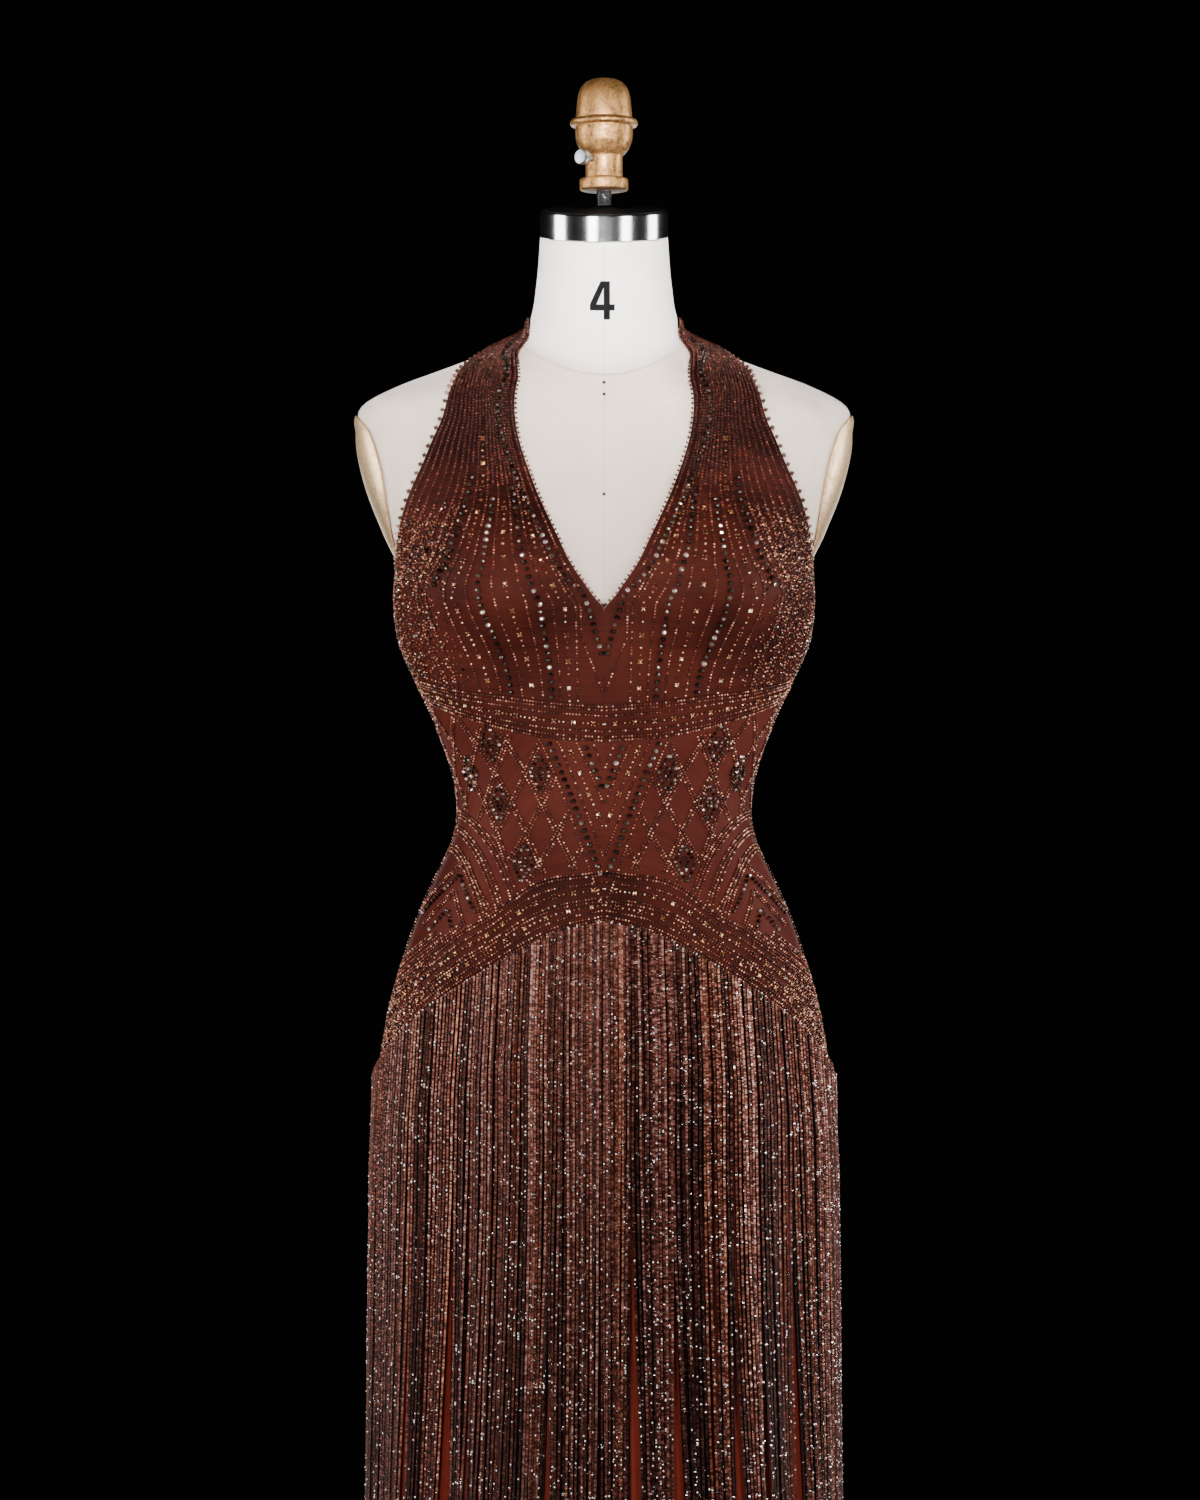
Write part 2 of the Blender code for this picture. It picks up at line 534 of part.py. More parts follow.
def add_block(name, centre, size, look):
    """A plain block."""
    signs = np.array([(i, j, k) for k in (-1, 1) for j in (-1, 1) for i in (-1, 1)], float)
    points = np.asarray(centre) + signs * np.asarray(size) / 2
    faces = [(0, 2, 3, 1), (4, 5, 7, 6), (0, 1, 5, 4), (2, 6, 7, 3), (0, 4, 6, 2), (1, 3, 7, 5)]
    return add_solid(name, points, faces, look)


def add_underskirt(name, middle):
    """Half of the satin skirt, from just under the hip seam to the hem."""
    angle = wrap(half_angles(middle))
    top = seam_level(HIP_SEAM, angle) - SEAM / 2
    lower = SKIRT_SECTIONS[:, 0]
    share = np.linspace(0, 1, UPPER_SKIRT_ROWS + 1)[1:, None]
    upper = lower[-1] + (top - lower[-1]) * share
    level = np.concatenate([np.broadcast_to(lower[:, None], (len(lower), len(angle))), upper])
    add_panel(name, np.broadcast_to(angle, level.shape), level, SATIN)


def strand_clear(level):
    """How far a strand hangs off the skirt: more where the flutes are deep."""
    return np.interp(level, (0.02, 0.55), (STRAND_CLEAR_HEM, STRAND_CLEAR_TOP))


def strand_levels(root):
    """The levels of a strand's rings below its root, no two upper ones far apart."""
    levels = [level for level in STRAND_STATIONS if level < root - SHORTEST_RUN]
    if levels[0] == STRAND_STATIONS[0]:
        runs = math.ceil((root - levels[0]) / LONGEST_FIRST_RUN)
        levels = list(np.linspace(root, levels[0], runs + 1)[1:-1]) + levels
    return levels


def add_fringe(name, middle):
    """A strip round half the hip seam, and a three-sided strand drawn down from each step of it.

    The strip's front edge has a point at each end of each strand's foot and its back edge one between.
    """
    count, reach = STRANDS_PER_SIDE, 90 - HALF_SEAM_ANGLE
    out_angles = wrap(middle + np.linspace(-1, 1, 2 * count + 1) * reach)
    between_feet = middle + (2 * np.arange(1, count) + 0.5) / count * reach - reach
    in_angles = np.concatenate([out_angles[:1], wrap(between_feet), out_angles[-1:]])
    strip_gap = CLOTH_GAP + CLOTH_WALL + SEAM * 2

    def strip_edge(angle, down, gap):
        level = seam_level(HIP_SEAM, angle) - SEAM / 2 - down
        return surface(garment_radius, angle, level, np.full(angle.shape, gap))

    groups = [
        strip_edge(in_angles, STRIP_HEIGHT, strip_gap + STRIP_SPLAY),
        strip_edge(out_angles, STRIP_HEIGHT, strip_gap + STRIP_SPLAY + STRIP_WALL),
        strip_edge(in_angles, 0.0, strip_gap),
        strip_edge(out_angles, 0.0, strip_gap + STRIP_WALL),
    ]
    firsts = np.cumsum([0] + [len(group) for group in groups])
    low_in, low_out, high_in, high_out = (lambda k, base=base: base + k for base in firsts[:4])
    total = int(firsts[4])
    faces = [(low_out(0), low_in(0), high_in(0), high_out(0)),
             (low_in(count), low_out(2 * count), high_out(2 * count), high_in(count))]
    for k in range(2 * count):
        faces.append((low_out(k + 1), low_out(k), high_out(k), high_out(k + 1)))
    for k in range(count):
        left, foot, right = 2 * k, 2 * k + 1, 2 * k + 2
        faces.append((low_in(k), low_in(k + 1), high_in(k + 1), high_in(k)))
        faces.append((high_in(k), high_in(k + 1), high_out(foot)))
        faces.append((high_in(k), high_out(foot), high_out(left)))
        faces.append((high_in(k + 1), high_out(right), high_out(foot)))
        faces.append((low_in(k + 1), low_in(k), low_out(foot)))
        faces.append((low_out(right), low_in(k + 1), low_out(foot)))
        centre = wrap(middle + (2 * k + 0.5) / count * reach - reach)
        ring = (low_out(left), low_out(foot), low_in(k))
        for level in strand_levels(float(seam_level(HIP_SEAM, centre)) - STRIP_HEIGHT):
            clear = CLOTH_GAP + CLOTH_WALL + float(strand_clear(level))
            spread = np.degrees(STRAND_HALF / garment_radius(centre, np.float64(level)))
            at = wrap(centre + spread * np.array([-1.0, 1.0, 0.0]))
            off = clear + STRAND_DEEP * np.array([1.0, 1.0, 0.0])
            groups.append(surface(garment_radius, at, np.full(3, level), off))
            after = (total, total + 1, total + 2)
            for here in range(3):
                follow = (here + 1) % 3
                faces.append((ring[here], ring[follow], after[follow], after[here]))
            ring, total = after, total + 3
        faces.append(ring)
    add_solid(name, np.concatenate(groups), faces, BEADS)


add_form()
add_neck_and_finial()
add_arm_plate("arm_plate_left", 1)
add_arm_plate("arm_plate_right", -1)
add_stand()
add_cup("bust_left", 1)
add_cup("bust_right", -1)
add_neck_band()
add_fronts()
add_backs()
add_zip()
add_underskirt("underskirt_front", 0.0)
add_underskirt("underskirt_back", 180.0)
add_fringe("fringe_front", 0.0)
add_fringe("fringe_back", 180.0)
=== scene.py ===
"""Looks of a beaded halter evening gown with a long bead fringe, on a linen dress form and its stand."""

import math

import bpy
import numpy as np
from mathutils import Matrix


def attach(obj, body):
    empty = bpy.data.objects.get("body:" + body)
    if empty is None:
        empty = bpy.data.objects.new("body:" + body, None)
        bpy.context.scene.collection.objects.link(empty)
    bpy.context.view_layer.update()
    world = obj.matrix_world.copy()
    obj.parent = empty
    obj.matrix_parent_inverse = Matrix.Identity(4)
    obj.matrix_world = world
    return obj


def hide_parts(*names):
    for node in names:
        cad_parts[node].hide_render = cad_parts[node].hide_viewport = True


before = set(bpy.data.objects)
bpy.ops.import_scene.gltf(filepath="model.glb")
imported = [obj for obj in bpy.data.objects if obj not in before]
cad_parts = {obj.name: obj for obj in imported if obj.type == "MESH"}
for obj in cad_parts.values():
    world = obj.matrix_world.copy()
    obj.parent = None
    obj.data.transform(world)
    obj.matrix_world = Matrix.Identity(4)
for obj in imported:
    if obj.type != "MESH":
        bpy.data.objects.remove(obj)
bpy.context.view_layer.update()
ROOT = "gown_and_form"

# Floor, backdrop light and camera
# A pale plain floor, four tall soft boxes round the front and sides whose stripes show on the neck's ring,
# a soft beam on the neck, a low box behind, and the camera level with the waist, as in the photograph.
PHOTO_SIZE = (1200, 1500)
PHOTO_PIXEL = 0.000785
CAMERA_AWAY, CAMERA_HIGH, FORM_AT_PIXEL = 2.9, 1.139, 604
SENSOR, FLOOR_HALF = 36.0, 2.5


def add_object(name, data):
    """An object of this name and data, in the scene."""
    made = bpy.data.objects.new(name, data)
    bpy.context.scene.collection.objects.link(made)
    return made


def area_light(name, place, aim, size, watts, spread=180.0):
    """A rectangular soft box at a place, turned to face its aim, with its beam spread in degrees."""
    light = bpy.data.lights.new(name, "AREA")
    light.shape, light.size, light.size_y = "RECTANGLE", *size
    light.energy, light.spread = watts, math.radians(spread)
    lamp = add_object(name, light)
    lamp.location = place
    x, y, z = np.subtract(aim, place)
    lamp.rotation_euler = (math.atan2(math.hypot(x, y), -z), 0.0, math.atan2(-x, y))


def plain_material(name, colour, roughness, metallic=0.0):
    """A material whose shader takes fixed values; gives the material and its shader."""
    made = bpy.data.materials.new(name)
    made.use_nodes = True
    shader = made.node_tree.nodes["Principled BSDF"]
    shader.inputs["Base Color"].default_value = (*colour, 1.0)
    shader.inputs["Roughness"].default_value = roughness
    shader.inputs["Metallic"].default_value = metallic
    return made, shader


floor_mesh = bpy.data.meshes.new("floor")
floor_corners = [(x * FLOOR_HALF, y * FLOOR_HALF, 0.0) for x, y in ((-1, -1), (1, -1), (1, 1), (-1, 1))]
floor_mesh.from_pydata(floor_corners, [], [(0, 1, 2, 3)])
floor = add_object("floor", floor_mesh)
floor_mesh.materials.append(plain_material("pale_floor", (0.55, 0.54, 0.53), 0.85)[0])

world = bpy.data.worlds.new("studio")
bpy.context.scene.world = world
world.use_nodes = True
backdrop = world.node_tree.nodes["Background"].inputs
backdrop["Color"].default_value = (0.0015, 0.0015, 0.0016, 1.0)
backdrop["Strength"].default_value = 1.0

for name, azimuth, away, high, size, watts in (
    ("soft_box_side_left", -87.0, 2.2, 1.55, (0.9, 1.5), 46),
    ("soft_box_left", -21.0, 3.0, 1.35, (0.8, 2.3), 92),
    ("soft_box_right", 41.0, 2.8, 1.35, (0.8, 2.3), 72),
    ("soft_box_side_right", 99.0, 2.2, 1.55, (0.8, 1.5), 42),
):
    turn = math.radians(azimuth)
    area_light(name, (away * math.sin(turn), -away * math.cos(turn), high), (0, 0, 1.25), size, watts)
area_light("beam_on_the_neck", (0.0, -2.4, 1.55), (0, 0, 1.51), (0.3, 0.2), 1.3, 13.0)
area_light("soft_box_back", (0.0, 2.6, 0.9), (0, 0, 1.0), (2.4, 1.1), 30)

view = bpy.data.cameras.new("photograph")
view.sensor_fit, view.sensor_height, view.sensor_width = "VERTICAL", SENSOR, SENSOR
view.lens = SENSOR * CAMERA_AWAY / PHOTO_PIXEL / PHOTO_SIZE[1]
camera = add_object("photograph", view)
camera.location = ((PHOTO_SIZE[0] / 2 - FORM_AT_PIXEL) * PHOTO_PIXEL, -CAMERA_AWAY, CAMERA_HIGH)
camera.rotation_euler = (math.pi / 2, 0.0, 0.0)
bpy.context.scene.camera = camera

# The dress form's body
# Papier-mache under stretched linen, seamed front and back and round the neck's root, with painted light
# that makes it paler above the neck seam. A place is an angle from the front, positive to the gown's left,
# and a level, its height before the tilt.
LINEN, LINEN_LOW, LINEN_HIGH = (0.73, 0.590, 0.490), (0.68, 0.545, 0.445), (0.79, 0.650, 0.550)
# Painted light: paler linen tones for the neck above its seam, and the height over which they fade in.
NECK_PAINTED_LIGHT_LOW, NECK_PAINTED_LIGHT_HIGH, NECK_PAINTED_LIGHT_FADE = (0.930, 0.835, 0.765), (0.985, 0.920, 0.860), 0.012
# Seam lines are drawn darker: the centre seam in its own tone, the neck seam partly as painted shade of its
# crease.
SEAM_LINE_AND_CREASE_SHADE, THREAD_PITCH, CENTRE_SEAM_HALF = (0.30, 0.20, 0.15), 0.0011, 0.0004
NECK_SEAM_LOW, NECK_SEAM_RISE, NECK_SEAM_HALF = 1.4262, 6.6, 0.0011
FORM_SECTIONS = np.array([
    # level, half_width, front, back, square, tilt
    (0.800, 0.1715, 0.1020, 0.1290, 2.20, 0.00),
    (0.820, 0.1740, 0.1050, 0.1335, 2.20, 0.00),
    (0.850, 0.1750, 0.1065, 0.1355, 2.20, 0.00),
    (0.880, 0.1735, 0.1070, 0.1360, 2.20, 0.00),
    (0.911, 0.1690, 0.1070, 0.1340, 2.20, 0.00),
    (0.943, 0.1630, 0.1060, 0.1290, 2.20, 0.00),
    (0.974, 0.1540, 0.1040, 0.1210, 2.15, 0.00),
    (1.005, 0.1435, 0.1010, 0.1110, 2.10, 0.00),
    (1.037, 0.1295, 0.0970, 0.1000, 2.10, 0.00),
    (1.068, 0.1150, 0.0930, 0.0920, 2.10, 0.00),
    (1.084, 0.1115, 0.0920, 0.0905, 2.10, 0.00),
    (1.100, 0.1115, 0.0920, 0.0900, 2.10, 0.00),
    (1.131, 0.1180, 0.0940, 0.0920, 2.10, 0.00),
    (1.163, 0.1300, 0.0970, 0.0940, 2.15, 0.00),
    (1.194, 0.1440, 0.1000, 0.0960, 2.20, 0.00),
    (1.225, 0.1570, 0.1030, 0.0980, 2.30, 0.00),
    (1.255, 0.1605, 0.1040, 0.1000, 2.40, 0.00),
    (1.285, 0.1600, 0.1030, 0.1010, 2.50, 0.00),
    (1.310, 0.1690, 0.1000, 0.1010, 2.60, 0.00),
    (1.350, 0.1835, 0.0930, 0.0990, 2.60, 0.00),
    (1.385, 0.1905, 0.0860, 0.0950, 2.40, 0.00),
    (1.410, 0.1880, 0.0800, 0.0900, 2.20, 0.00),
    (1.425, 0.1600, 0.0760, 0.0850, 2.05, 0.06),
    (1.440, 0.1200, 0.0720, 0.0770, 2.00, 0.13),
    (1.452, 0.0880, 0.0680, 0.0680, 2.00, 0.21),
    (1.463, 0.0640, 0.0650, 0.0600, 2.00, 0.28),
    (1.480, 0.0570, 0.0620, 0.0520, 2.00, 0.27),
    (1.505, 0.0530, 0.0610, 0.0450, 2.00, 0.25),
    (1.542, 0.0500, 0.0620, 0.0380, 2.00, 0.215),
])
BUST_LEVEL, BUST_ANGLE, BUST_HEIGHT = 1.262, 35.0, 0.030
BUST_SPREAD_UP, BUST_SPREAD_DOWN, BUST_SPREAD_ROUND = 0.060, 0.040, 24.0
FORM_INSET, INSET_FADES = 0.0009, (1.34, 1.42)


class Socket:
    """One socket of a material's graph. Arithmetic on it adds Math nodes."""

    def __init__(self, tree, socket):
        self.tree, self.socket = tree, socket

    def node(self, kind, settings=None, inputs=None, output=0):
        """A new node, its settings first and then its sockets' values or links; gives one output."""
        made = self.tree.nodes.new(kind)
        for name, value in (settings or {}).items():
            if name == "stops":
                while len(made.color_ramp.elements) < len(value):
                    made.color_ramp.elements.new(0.5)
                for stop, (place, colour) in zip(made.color_ramp.elements, value):
                    stop.position, stop.color = place, (*colour, 1.0)
            else:
                setattr(made, name, value)
        for name, value in (inputs or {}).items():
            if isinstance(value, Socket):
                self.tree.links.new(value.socket, made.inputs[name])
            else:
                made.inputs[name].default_value = value
        return Socket(self.tree, made.outputs[output])

    def maths(self, operation, *values):
        return self.node("ShaderNodeMath", {"operation": operation}, dict(enumerate(values)))

    def __add__(self, other):
        return self.maths("ADD", self, other)

    def __sub__(self, other):
        return self.maths("SUBTRACT", self, other)

    def __rsub__(self, other):
        return self.maths("SUBTRACT", other, self)

    def __mul__(self, other):
        return self.maths("MULTIPLY", self, other)

    def __truediv__(self, other):
        return self.maths("DIVIDE", self, other)

    def __gt__(self, other):
        return self.maths("GREATER_THAN", self, other)

    def __lt__(self, other):
        return self.maths("LESS_THAN", self, other)

    __radd__, __rmul__ = __add__, __mul__

    def blend(self, first, second):
        """This socket's share of the way from the first colour to the second."""
        colours = [c if isinstance(c, Socket) else (*c, 1.0) for c in (first, second)]
        return self.node("ShaderNodeMix", {"data_type": "RGBA"}, {0: self, 6: colours[0], 7: colours[1]}, 2)

    def noise(self, scale, detail=2.0, roughness=0.5):
        """A soft noise, about 0 to 1, read at this place."""
        values = {"Vector": self, "Scale": scale, "Detail": detail, "Roughness": roughness}
        return self.node("ShaderNodeTexNoise", None, values)

    def ramp(self, *stops):
        """The colour at this share of the way along a ramp of (place, colour) stops."""
        return self.node("ShaderNodeValToRGB", {"stops": stops}, {0: self})

    def part(self, axis):
        """One coordinate of this vector."""
        return self.node("ShaderNodeSeparateXYZ", None, {0: self}, "XYZ".index(axis))

    def bump(self, depth, strength=1.0):
        """A normal bumped by this height times the depth in metres."""
        return self.node("ShaderNodeBump", None, {"Height": self, "Distance": depth, "Strength": strength})


def finish(name, colour, roughness, metallic=0.0, **fixed):
    """A Principled material with these fixed values; gives it, its shader and two places to read."""
    made, shader = plain_material(name, colour, roughness, metallic)
    for label, value in fixed.items():
        shader.inputs[label.replace("_", " ")].default_value = value
    tree = made.node_tree
    places = tree.nodes.new("ShaderNodeTexCoord")
    return made, shader, Socket(tree, places.outputs["Object"]), Socket(tree, places.outputs["UV"])


def feed(shader, **links):
    """Links sockets to the shader's inputs of the same names."""
    for label, value in links.items():
        value.tree.links.new(value.socket, shader.inputs[label.replace("_", " ")])


def between(table, column, at):
    """The table's column at these keys, on a smooth cubic through its rows."""
    keys, values = table[:, 0], table[:, column]
    at = np.clip(at, keys[0], keys[-1])
    steps = np.diff(keys)
    rises = np.diff(values) / steps
    slopes = np.empty_like(values)
    slopes[0], slopes[-1] = rises[0], rises[-1]
    slopes[1:-1] = (rises[:-1] * steps[1:] + rises[1:] * steps[:-1]) / (steps[1:] + steps[:-1])
    row = np.clip(np.searchsorted(keys, at) - 1, 0, len(keys) - 2)
    step = keys[row + 1] - keys[row]
    t = (at - keys[row]) / step
    start = (2 * t**3 - 3 * t**2 + 1) * values[row] + (t**3 - 2 * t**2 + t) * step * slopes[row]
    end = (3 * t**2 - 2 * t**3) * values[row + 1] + (t**3 - t**2) * step * slopes[row + 1]
    return start + end


def outline(half_width, front, back, square, angle):
    """Radius of a rounded section: the sum of (across/half width) and (along/depth) to a power is 1."""
    turn = np.radians(angle)
    depth = np.where(np.cos(turn) > 0, front, back)
    across, along = np.abs(np.sin(turn)) / half_width, np.abs(np.cos(turn)) / depth
    return (across**square + along**square) ** (-1 / square)


def form_radius(angle, level):
    """The section's radius plus two soft mounds, each a bell curve in angle times one in level."""
    sizes = [between(FORM_SECTIONS, column, level) for column in (1, 2, 3, 4)]
    spread = np.where(level > BUST_LEVEL, BUST_SPREAD_UP, BUST_SPREAD_DOWN)
    rise = np.exp(-(((level - BUST_LEVEL) / spread) ** 2))
    round_rise = np.exp(-(((np.abs(angle) - BUST_ANGLE) / BUST_SPREAD_ROUND) ** 2))
    return outline(*sizes, angle) + BUST_HEIGHT * rise * round_rise


def unit(vectors):
    """Each vector divided by its own length."""
    return vectors / np.linalg.norm(vectors, axis=-1, keepdims=True)


def surface(radius_of, angle, level, offset=0.0, with_normal=False):
    """Points at radius(angle, level) round the axis, moved along the surface's own normal."""
    angle, level = np.broadcast_arrays(np.asarray(angle, float), np.asarray(level, float))

    def place(a, h):
        radius, turn = radius_of(a, h), np.radians(a)
        x, y = radius * np.sin(turn), -radius * np.cos(turn)
        return np.stack([x, y, h + between(FORM_SECTIONS, 5, h) * y], axis=-1)

    turn_step, rise_step = 0.01, 0.0002
    across = place(angle + turn_step, level) - place(angle - turn_step, level)
    up = place(angle, level + rise_step) - place(angle, level - rise_step)
    normal = unit(np.cross(across, up))
    points = place(angle, level) + np.asarray(offset)[..., None] * normal
    return (points, normal) if with_normal else points


def wrap(angle):
    """Angles brought to between -180 and 180."""
    return (np.asarray(angle) + 180.0) % 360.0 - 180.0


def mesh_object(name, points, faces, material, uv=None, smooth=True, sharp=40.0, triangles=()):
    """A piece from arrays of points, of faces and of more triangles, with a uv for each point."""
    triangles = np.asarray(triangles, np.int32).reshape(-1, 3)
    corners = np.concatenate([faces.ravel(), triangles.ravel()]).astype(np.int32)
    starts = np.concatenate([np.arange(len(faces)) * faces.shape[1],
                             faces.size + np.arange(len(triangles)) * 3]).astype(np.int32)
    mesh = bpy.data.meshes.new(name)
    mesh.vertices.add(len(points))
    mesh.vertices.foreach_set("co", np.asarray(points, np.float32).ravel())
    mesh.loops.add(len(corners))
    mesh.loops.foreach_set("vertex_index", corners)
    mesh.polygons.add(len(starts))
    mesh.polygons.foreach_set("loop_start", starts)
    if uv is not None:
        layer = mesh.uv_layers.new(name="UVMap")
        layer.data.foreach_set("uv", np.asarray(uv, np.float32)[corners].ravel())
    mesh.update(calc_edges=True)
    mesh.validate()
    if smooth:
        mesh.shade_smooth()
        if sharp:
            mesh.set_sharp_from_angle(angle=math.radians(sharp))
    else:
        mesh.shade_flat()
    mesh.materials.append(material)
    return add_object(name, mesh)


def grid_quads(rows, columns, wraps=False):
    """The quads of a grid of points numbered row by row, as an array."""
    row, column = np.meshgrid(np.arange(rows - 1), np.arange(columns - (not wraps)), indexing="ij")
    lower, after = row * columns, (column + 1) % columns
    quads = [lower + column, lower + after, lower + columns + after, lower + columns + column]
    return np.stack(quads, -1).reshape(-1, 4)


def end_fans(rows, columns):
    """Triangles that close a tube of rings of points round the two hub points numbered after them."""
    spoke, hub = np.arange(columns), np.full(columns, rows * columns)
    ahead, last = (spoke + 1) % columns, (rows - 1) * columns
    foot, crown = (hub, ahead, spoke), (hub + 1, last + spoke, last + ahead)
    return np.concatenate([np.stack(fan, -1) for fan in (foot, crown)])


def tube(name, rings, material, sharp=40.0, hubs=None):
    """A piece through rings of points, closed by a fan round a hub, else the middle, at each end."""
    rows, columns = rings.shape[:2]
    hubs = (rings[0].mean(0), rings[-1].mean(0)) if hubs is None else hubs
    points, quads = np.concatenate([rings.reshape(-1, 3), hubs]), grid_quads(rows, columns, wraps=True)
    return mesh_object(name, points, quads, material, sharp=sharp, triangles=end_fans(rows, columns))


def slab(inner, outer):
    """Points and faces of a closed slab between two grids of points of one size."""
    rows, columns = inner.shape[:2]
    count, last, faces = rows * columns, (rows - 1) * columns, grid_quads(rows, columns)
    edge = np.concatenate([np.arange(columns), np.arange(2, rows + 1) * columns - 1,
                           last + np.arange(columns - 2, -1, -1), np.arange(rows - 2, 0, -1) * columns])
    after = np.roll(edge, -1)
    rim = np.stack([edge, after, count + after, count + edge], -1)
    return (np.concatenate([inner.reshape(-1, 3), outer.reshape(-1, 3)]),
            np.concatenate([faces[:, ::-1], faces + count, rim]))


def settle(piece, body, slot, *nodes):
    """The piece rides on its body and stands for the nodes named, which are hidden. The slot is not used."""
    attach(piece, body)
    if nodes:
        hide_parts(*nodes)
    return piece


def linen_finish():
    """Plain-woven linen: fine crossed threads, slubs and a soft mottle. The pressed seams are drawn where x
    is 0, and where z is the neck seam's lowest point plus its rise times x squared; the neck seam's darker
    line is partly painted shade of its crease. Above the neck seam the tone is painted light, paler on the
    neck."""
    made, shader, place, _ = finish("stretched_linen", LINEN, 0.82, Sheen_Weight=0.25, Sheen_Roughness=0.5)
    mottle = place.noise(22.0, 4.0)
    slub = place.node("ShaderNodeMapping", None, {"Vector": place, "Scale": (1.0, 1.0, 9.0)}).noise(190.0)
    x, z = place.part("X"), place.part("Z")
    thread = 2 * math.pi / THREAD_PITCH
    weave = place.maths("SINE", x * thread) * place.maths("SINE", z * thread)
    off_neck_seam = place.maths("ABSOLUTE", z - NECK_SEAM_LOW - x * x * NECK_SEAM_RISE)
    neck_seam = place.maths("MAXIMUM", 1 - off_neck_seam / NECK_SEAM_HALF, 0.0) * (place.part("Y") < 0.01)
    centre_seam = place.maths("ABSOLUTE", x) < CENTRE_SEAM_HALF
    # Seams darkened: the centre seam's own line, and at the neck seam partly painted shade of the crease.
    seams = place.maths("MAXIMUM", neck_seam * 0.35, centre_seam * 0.30)
    # Painted light: the tone turns paler above the neck seam, for the light that falls on the neck.
    above = place.maths("MAXIMUM", (z - NECK_SEAM_LOW - x * x * NECK_SEAM_RISE) / NECK_PAINTED_LIGHT_FADE, 0.0)
    tone = mottle * 0.6 + slub * 0.4
    shade = place.maths("MINIMUM", above, 1.0).blend(
        tone.ramp((0.30, LINEN_LOW), (0.70, LINEN_HIGH)), tone.ramp((0.30, NECK_PAINTED_LIGHT_LOW), (0.70, NECK_PAINTED_LIGHT_HIGH)))
    height = weave * 0.25 + slub * 0.35 - centre_seam * 2.2 - neck_seam * 3.0
    feed(shader, Base_Color=seams.blend(shade, SEAM_LINE_AND_CREASE_SHADE), Normal=height.bump(0.00035, 0.6))
    return made


linen = linen_finish()
FORM_GRID = (200, 168)
form_levels = np.linspace(FORM_SECTIONS[0, 0], FORM_SECTIONS[-1, 0], FORM_GRID[0])
form_angles = np.arange(FORM_GRID[1]) * 360.0 / FORM_GRID[1]
inset = -FORM_INSET * np.interp(form_levels, INSET_FADES, (1, 0))
form_rings = surface(form_radius, wrap(form_angles), form_levels[:, None], inset[:, None])
form_rings[0, :, 2] = FORM_SECTIONS[0, 0]
settle(tube("linen_body", form_rings, linen), ROOT, "linen", "form_body")

# The size number on the neck
# A plain printed 4 that names the form's size, three flat strokes of black ink laid on the linen.
NUMBER_MIDDLE, NUMBER_TALL, NUMBER_WIDE, STROKE = 1.5000, 0.0282, 0.0194, 0.0050
NUMBER_ASIDE, STEM_IN, NICK_DROP, SLANT_TOP = -0.0014, 0.0087, 0.0045, 0.0024
BAR_LOW, BAR_HIGH, SLANT_WIDE, SLANT_LAP = 0.0066, 0.0113, 0.0054, 0.0003
INK_THICK, INK_STEP = 0.00012, 0.00003
ink, ink_shader = plain_material("number_ink", (0.002, 0.002, 0.002), 0.85)
ink_shader.inputs["Specular IOR Level"].default_value = 0.15


def stroke_grid(corners, steps=10):
    """A four-cornered stroke as a grid, the mean of its corners weighted both ways."""
    a, b, c, d = np.asarray(corners, float)
    u, v = (part[..., None] for part in np.meshgrid(np.linspace(0, 1, steps), np.linspace(0, 1, steps)))
    return (a * (1 - u) + b * u) * (1 - v) + (d * (1 - u) + c * u) * v


half, top = NUMBER_WIDE / 2, NUMBER_TALL / 2
stem_left = half - STEM_IN
stem_right, nick = stem_left + STROKE, top - NICK_DROP
bar_low, bar_high = BAR_LOW - top, BAR_HIGH - top
slant = (stem_left - SLANT_TOP + half) / (top - bar_high)
slant_at_nick, slant_right = slant * (nick - bar_high) - half, stem_left + SLANT_LAP
number_points, number_faces = [], []
for index, corners in enumerate((
    ((stem_left, -top), (stem_right, -top), (stem_right, top), (stem_left, top)),
    ((-half, bar_low), (half, bar_low), (half, bar_high), (-half, bar_high)),
    ((-half, bar_high), (SLANT_WIDE - half, bar_high), (slant_right, nick), (slant_at_nick, nick)),
    ((slant_at_nick, nick), (slant_right, nick), (slant_right, top), (stem_left - SLANT_TOP, top)),
)):
    aside, level = np.moveaxis(stroke_grid(corners) + (NUMBER_ASIDE, NUMBER_MIDDLE), -1, 0)
    angle, lifts = np.degrees(aside / form_radius(0.0, NUMBER_MIDDLE)), (0.0, INK_THICK + INK_STEP * index)
    points, faces = slab(*(surface(form_radius, angle, level, lift + 0 * angle) for lift in lifts))
    number_points.append(points)
    number_faces.append(faces + index * len(points))
number = mesh_object("size_number", np.concatenate(number_points), np.concatenate(number_faces), ink)
settle(number, ROOT, "linen")

# Pins at the centre front
# Small steel pin heads pushed through the linen down the centre seam, as a dressmaker leaves them.
PIN_LEVELS, ON_AXIS = (1.4245, 1.4110, 1.3335, 1.2480), 1e-5


def turned(profile, foot, axis, segments=64):
    """Rings of points of a profile of radii and heights turned about an axis through the foot."""
    axis = unit(np.asarray(axis, float))
    side = unit(np.cross(axis, (0.0, 1.0, 0.0) if abs(axis[1]) < 0.9 else (1.0, 0.0, 0.0)))
    turn = np.arange(segments) * 2 * math.pi / segments
    ring = np.cos(turn)[:, None] * side + np.sin(turn)[:, None] * np.cross(axis, side)
    radius, height = np.asarray(profile, float).T[..., None, None]
    return radius * ring + height * axis + np.asarray(foot, float)


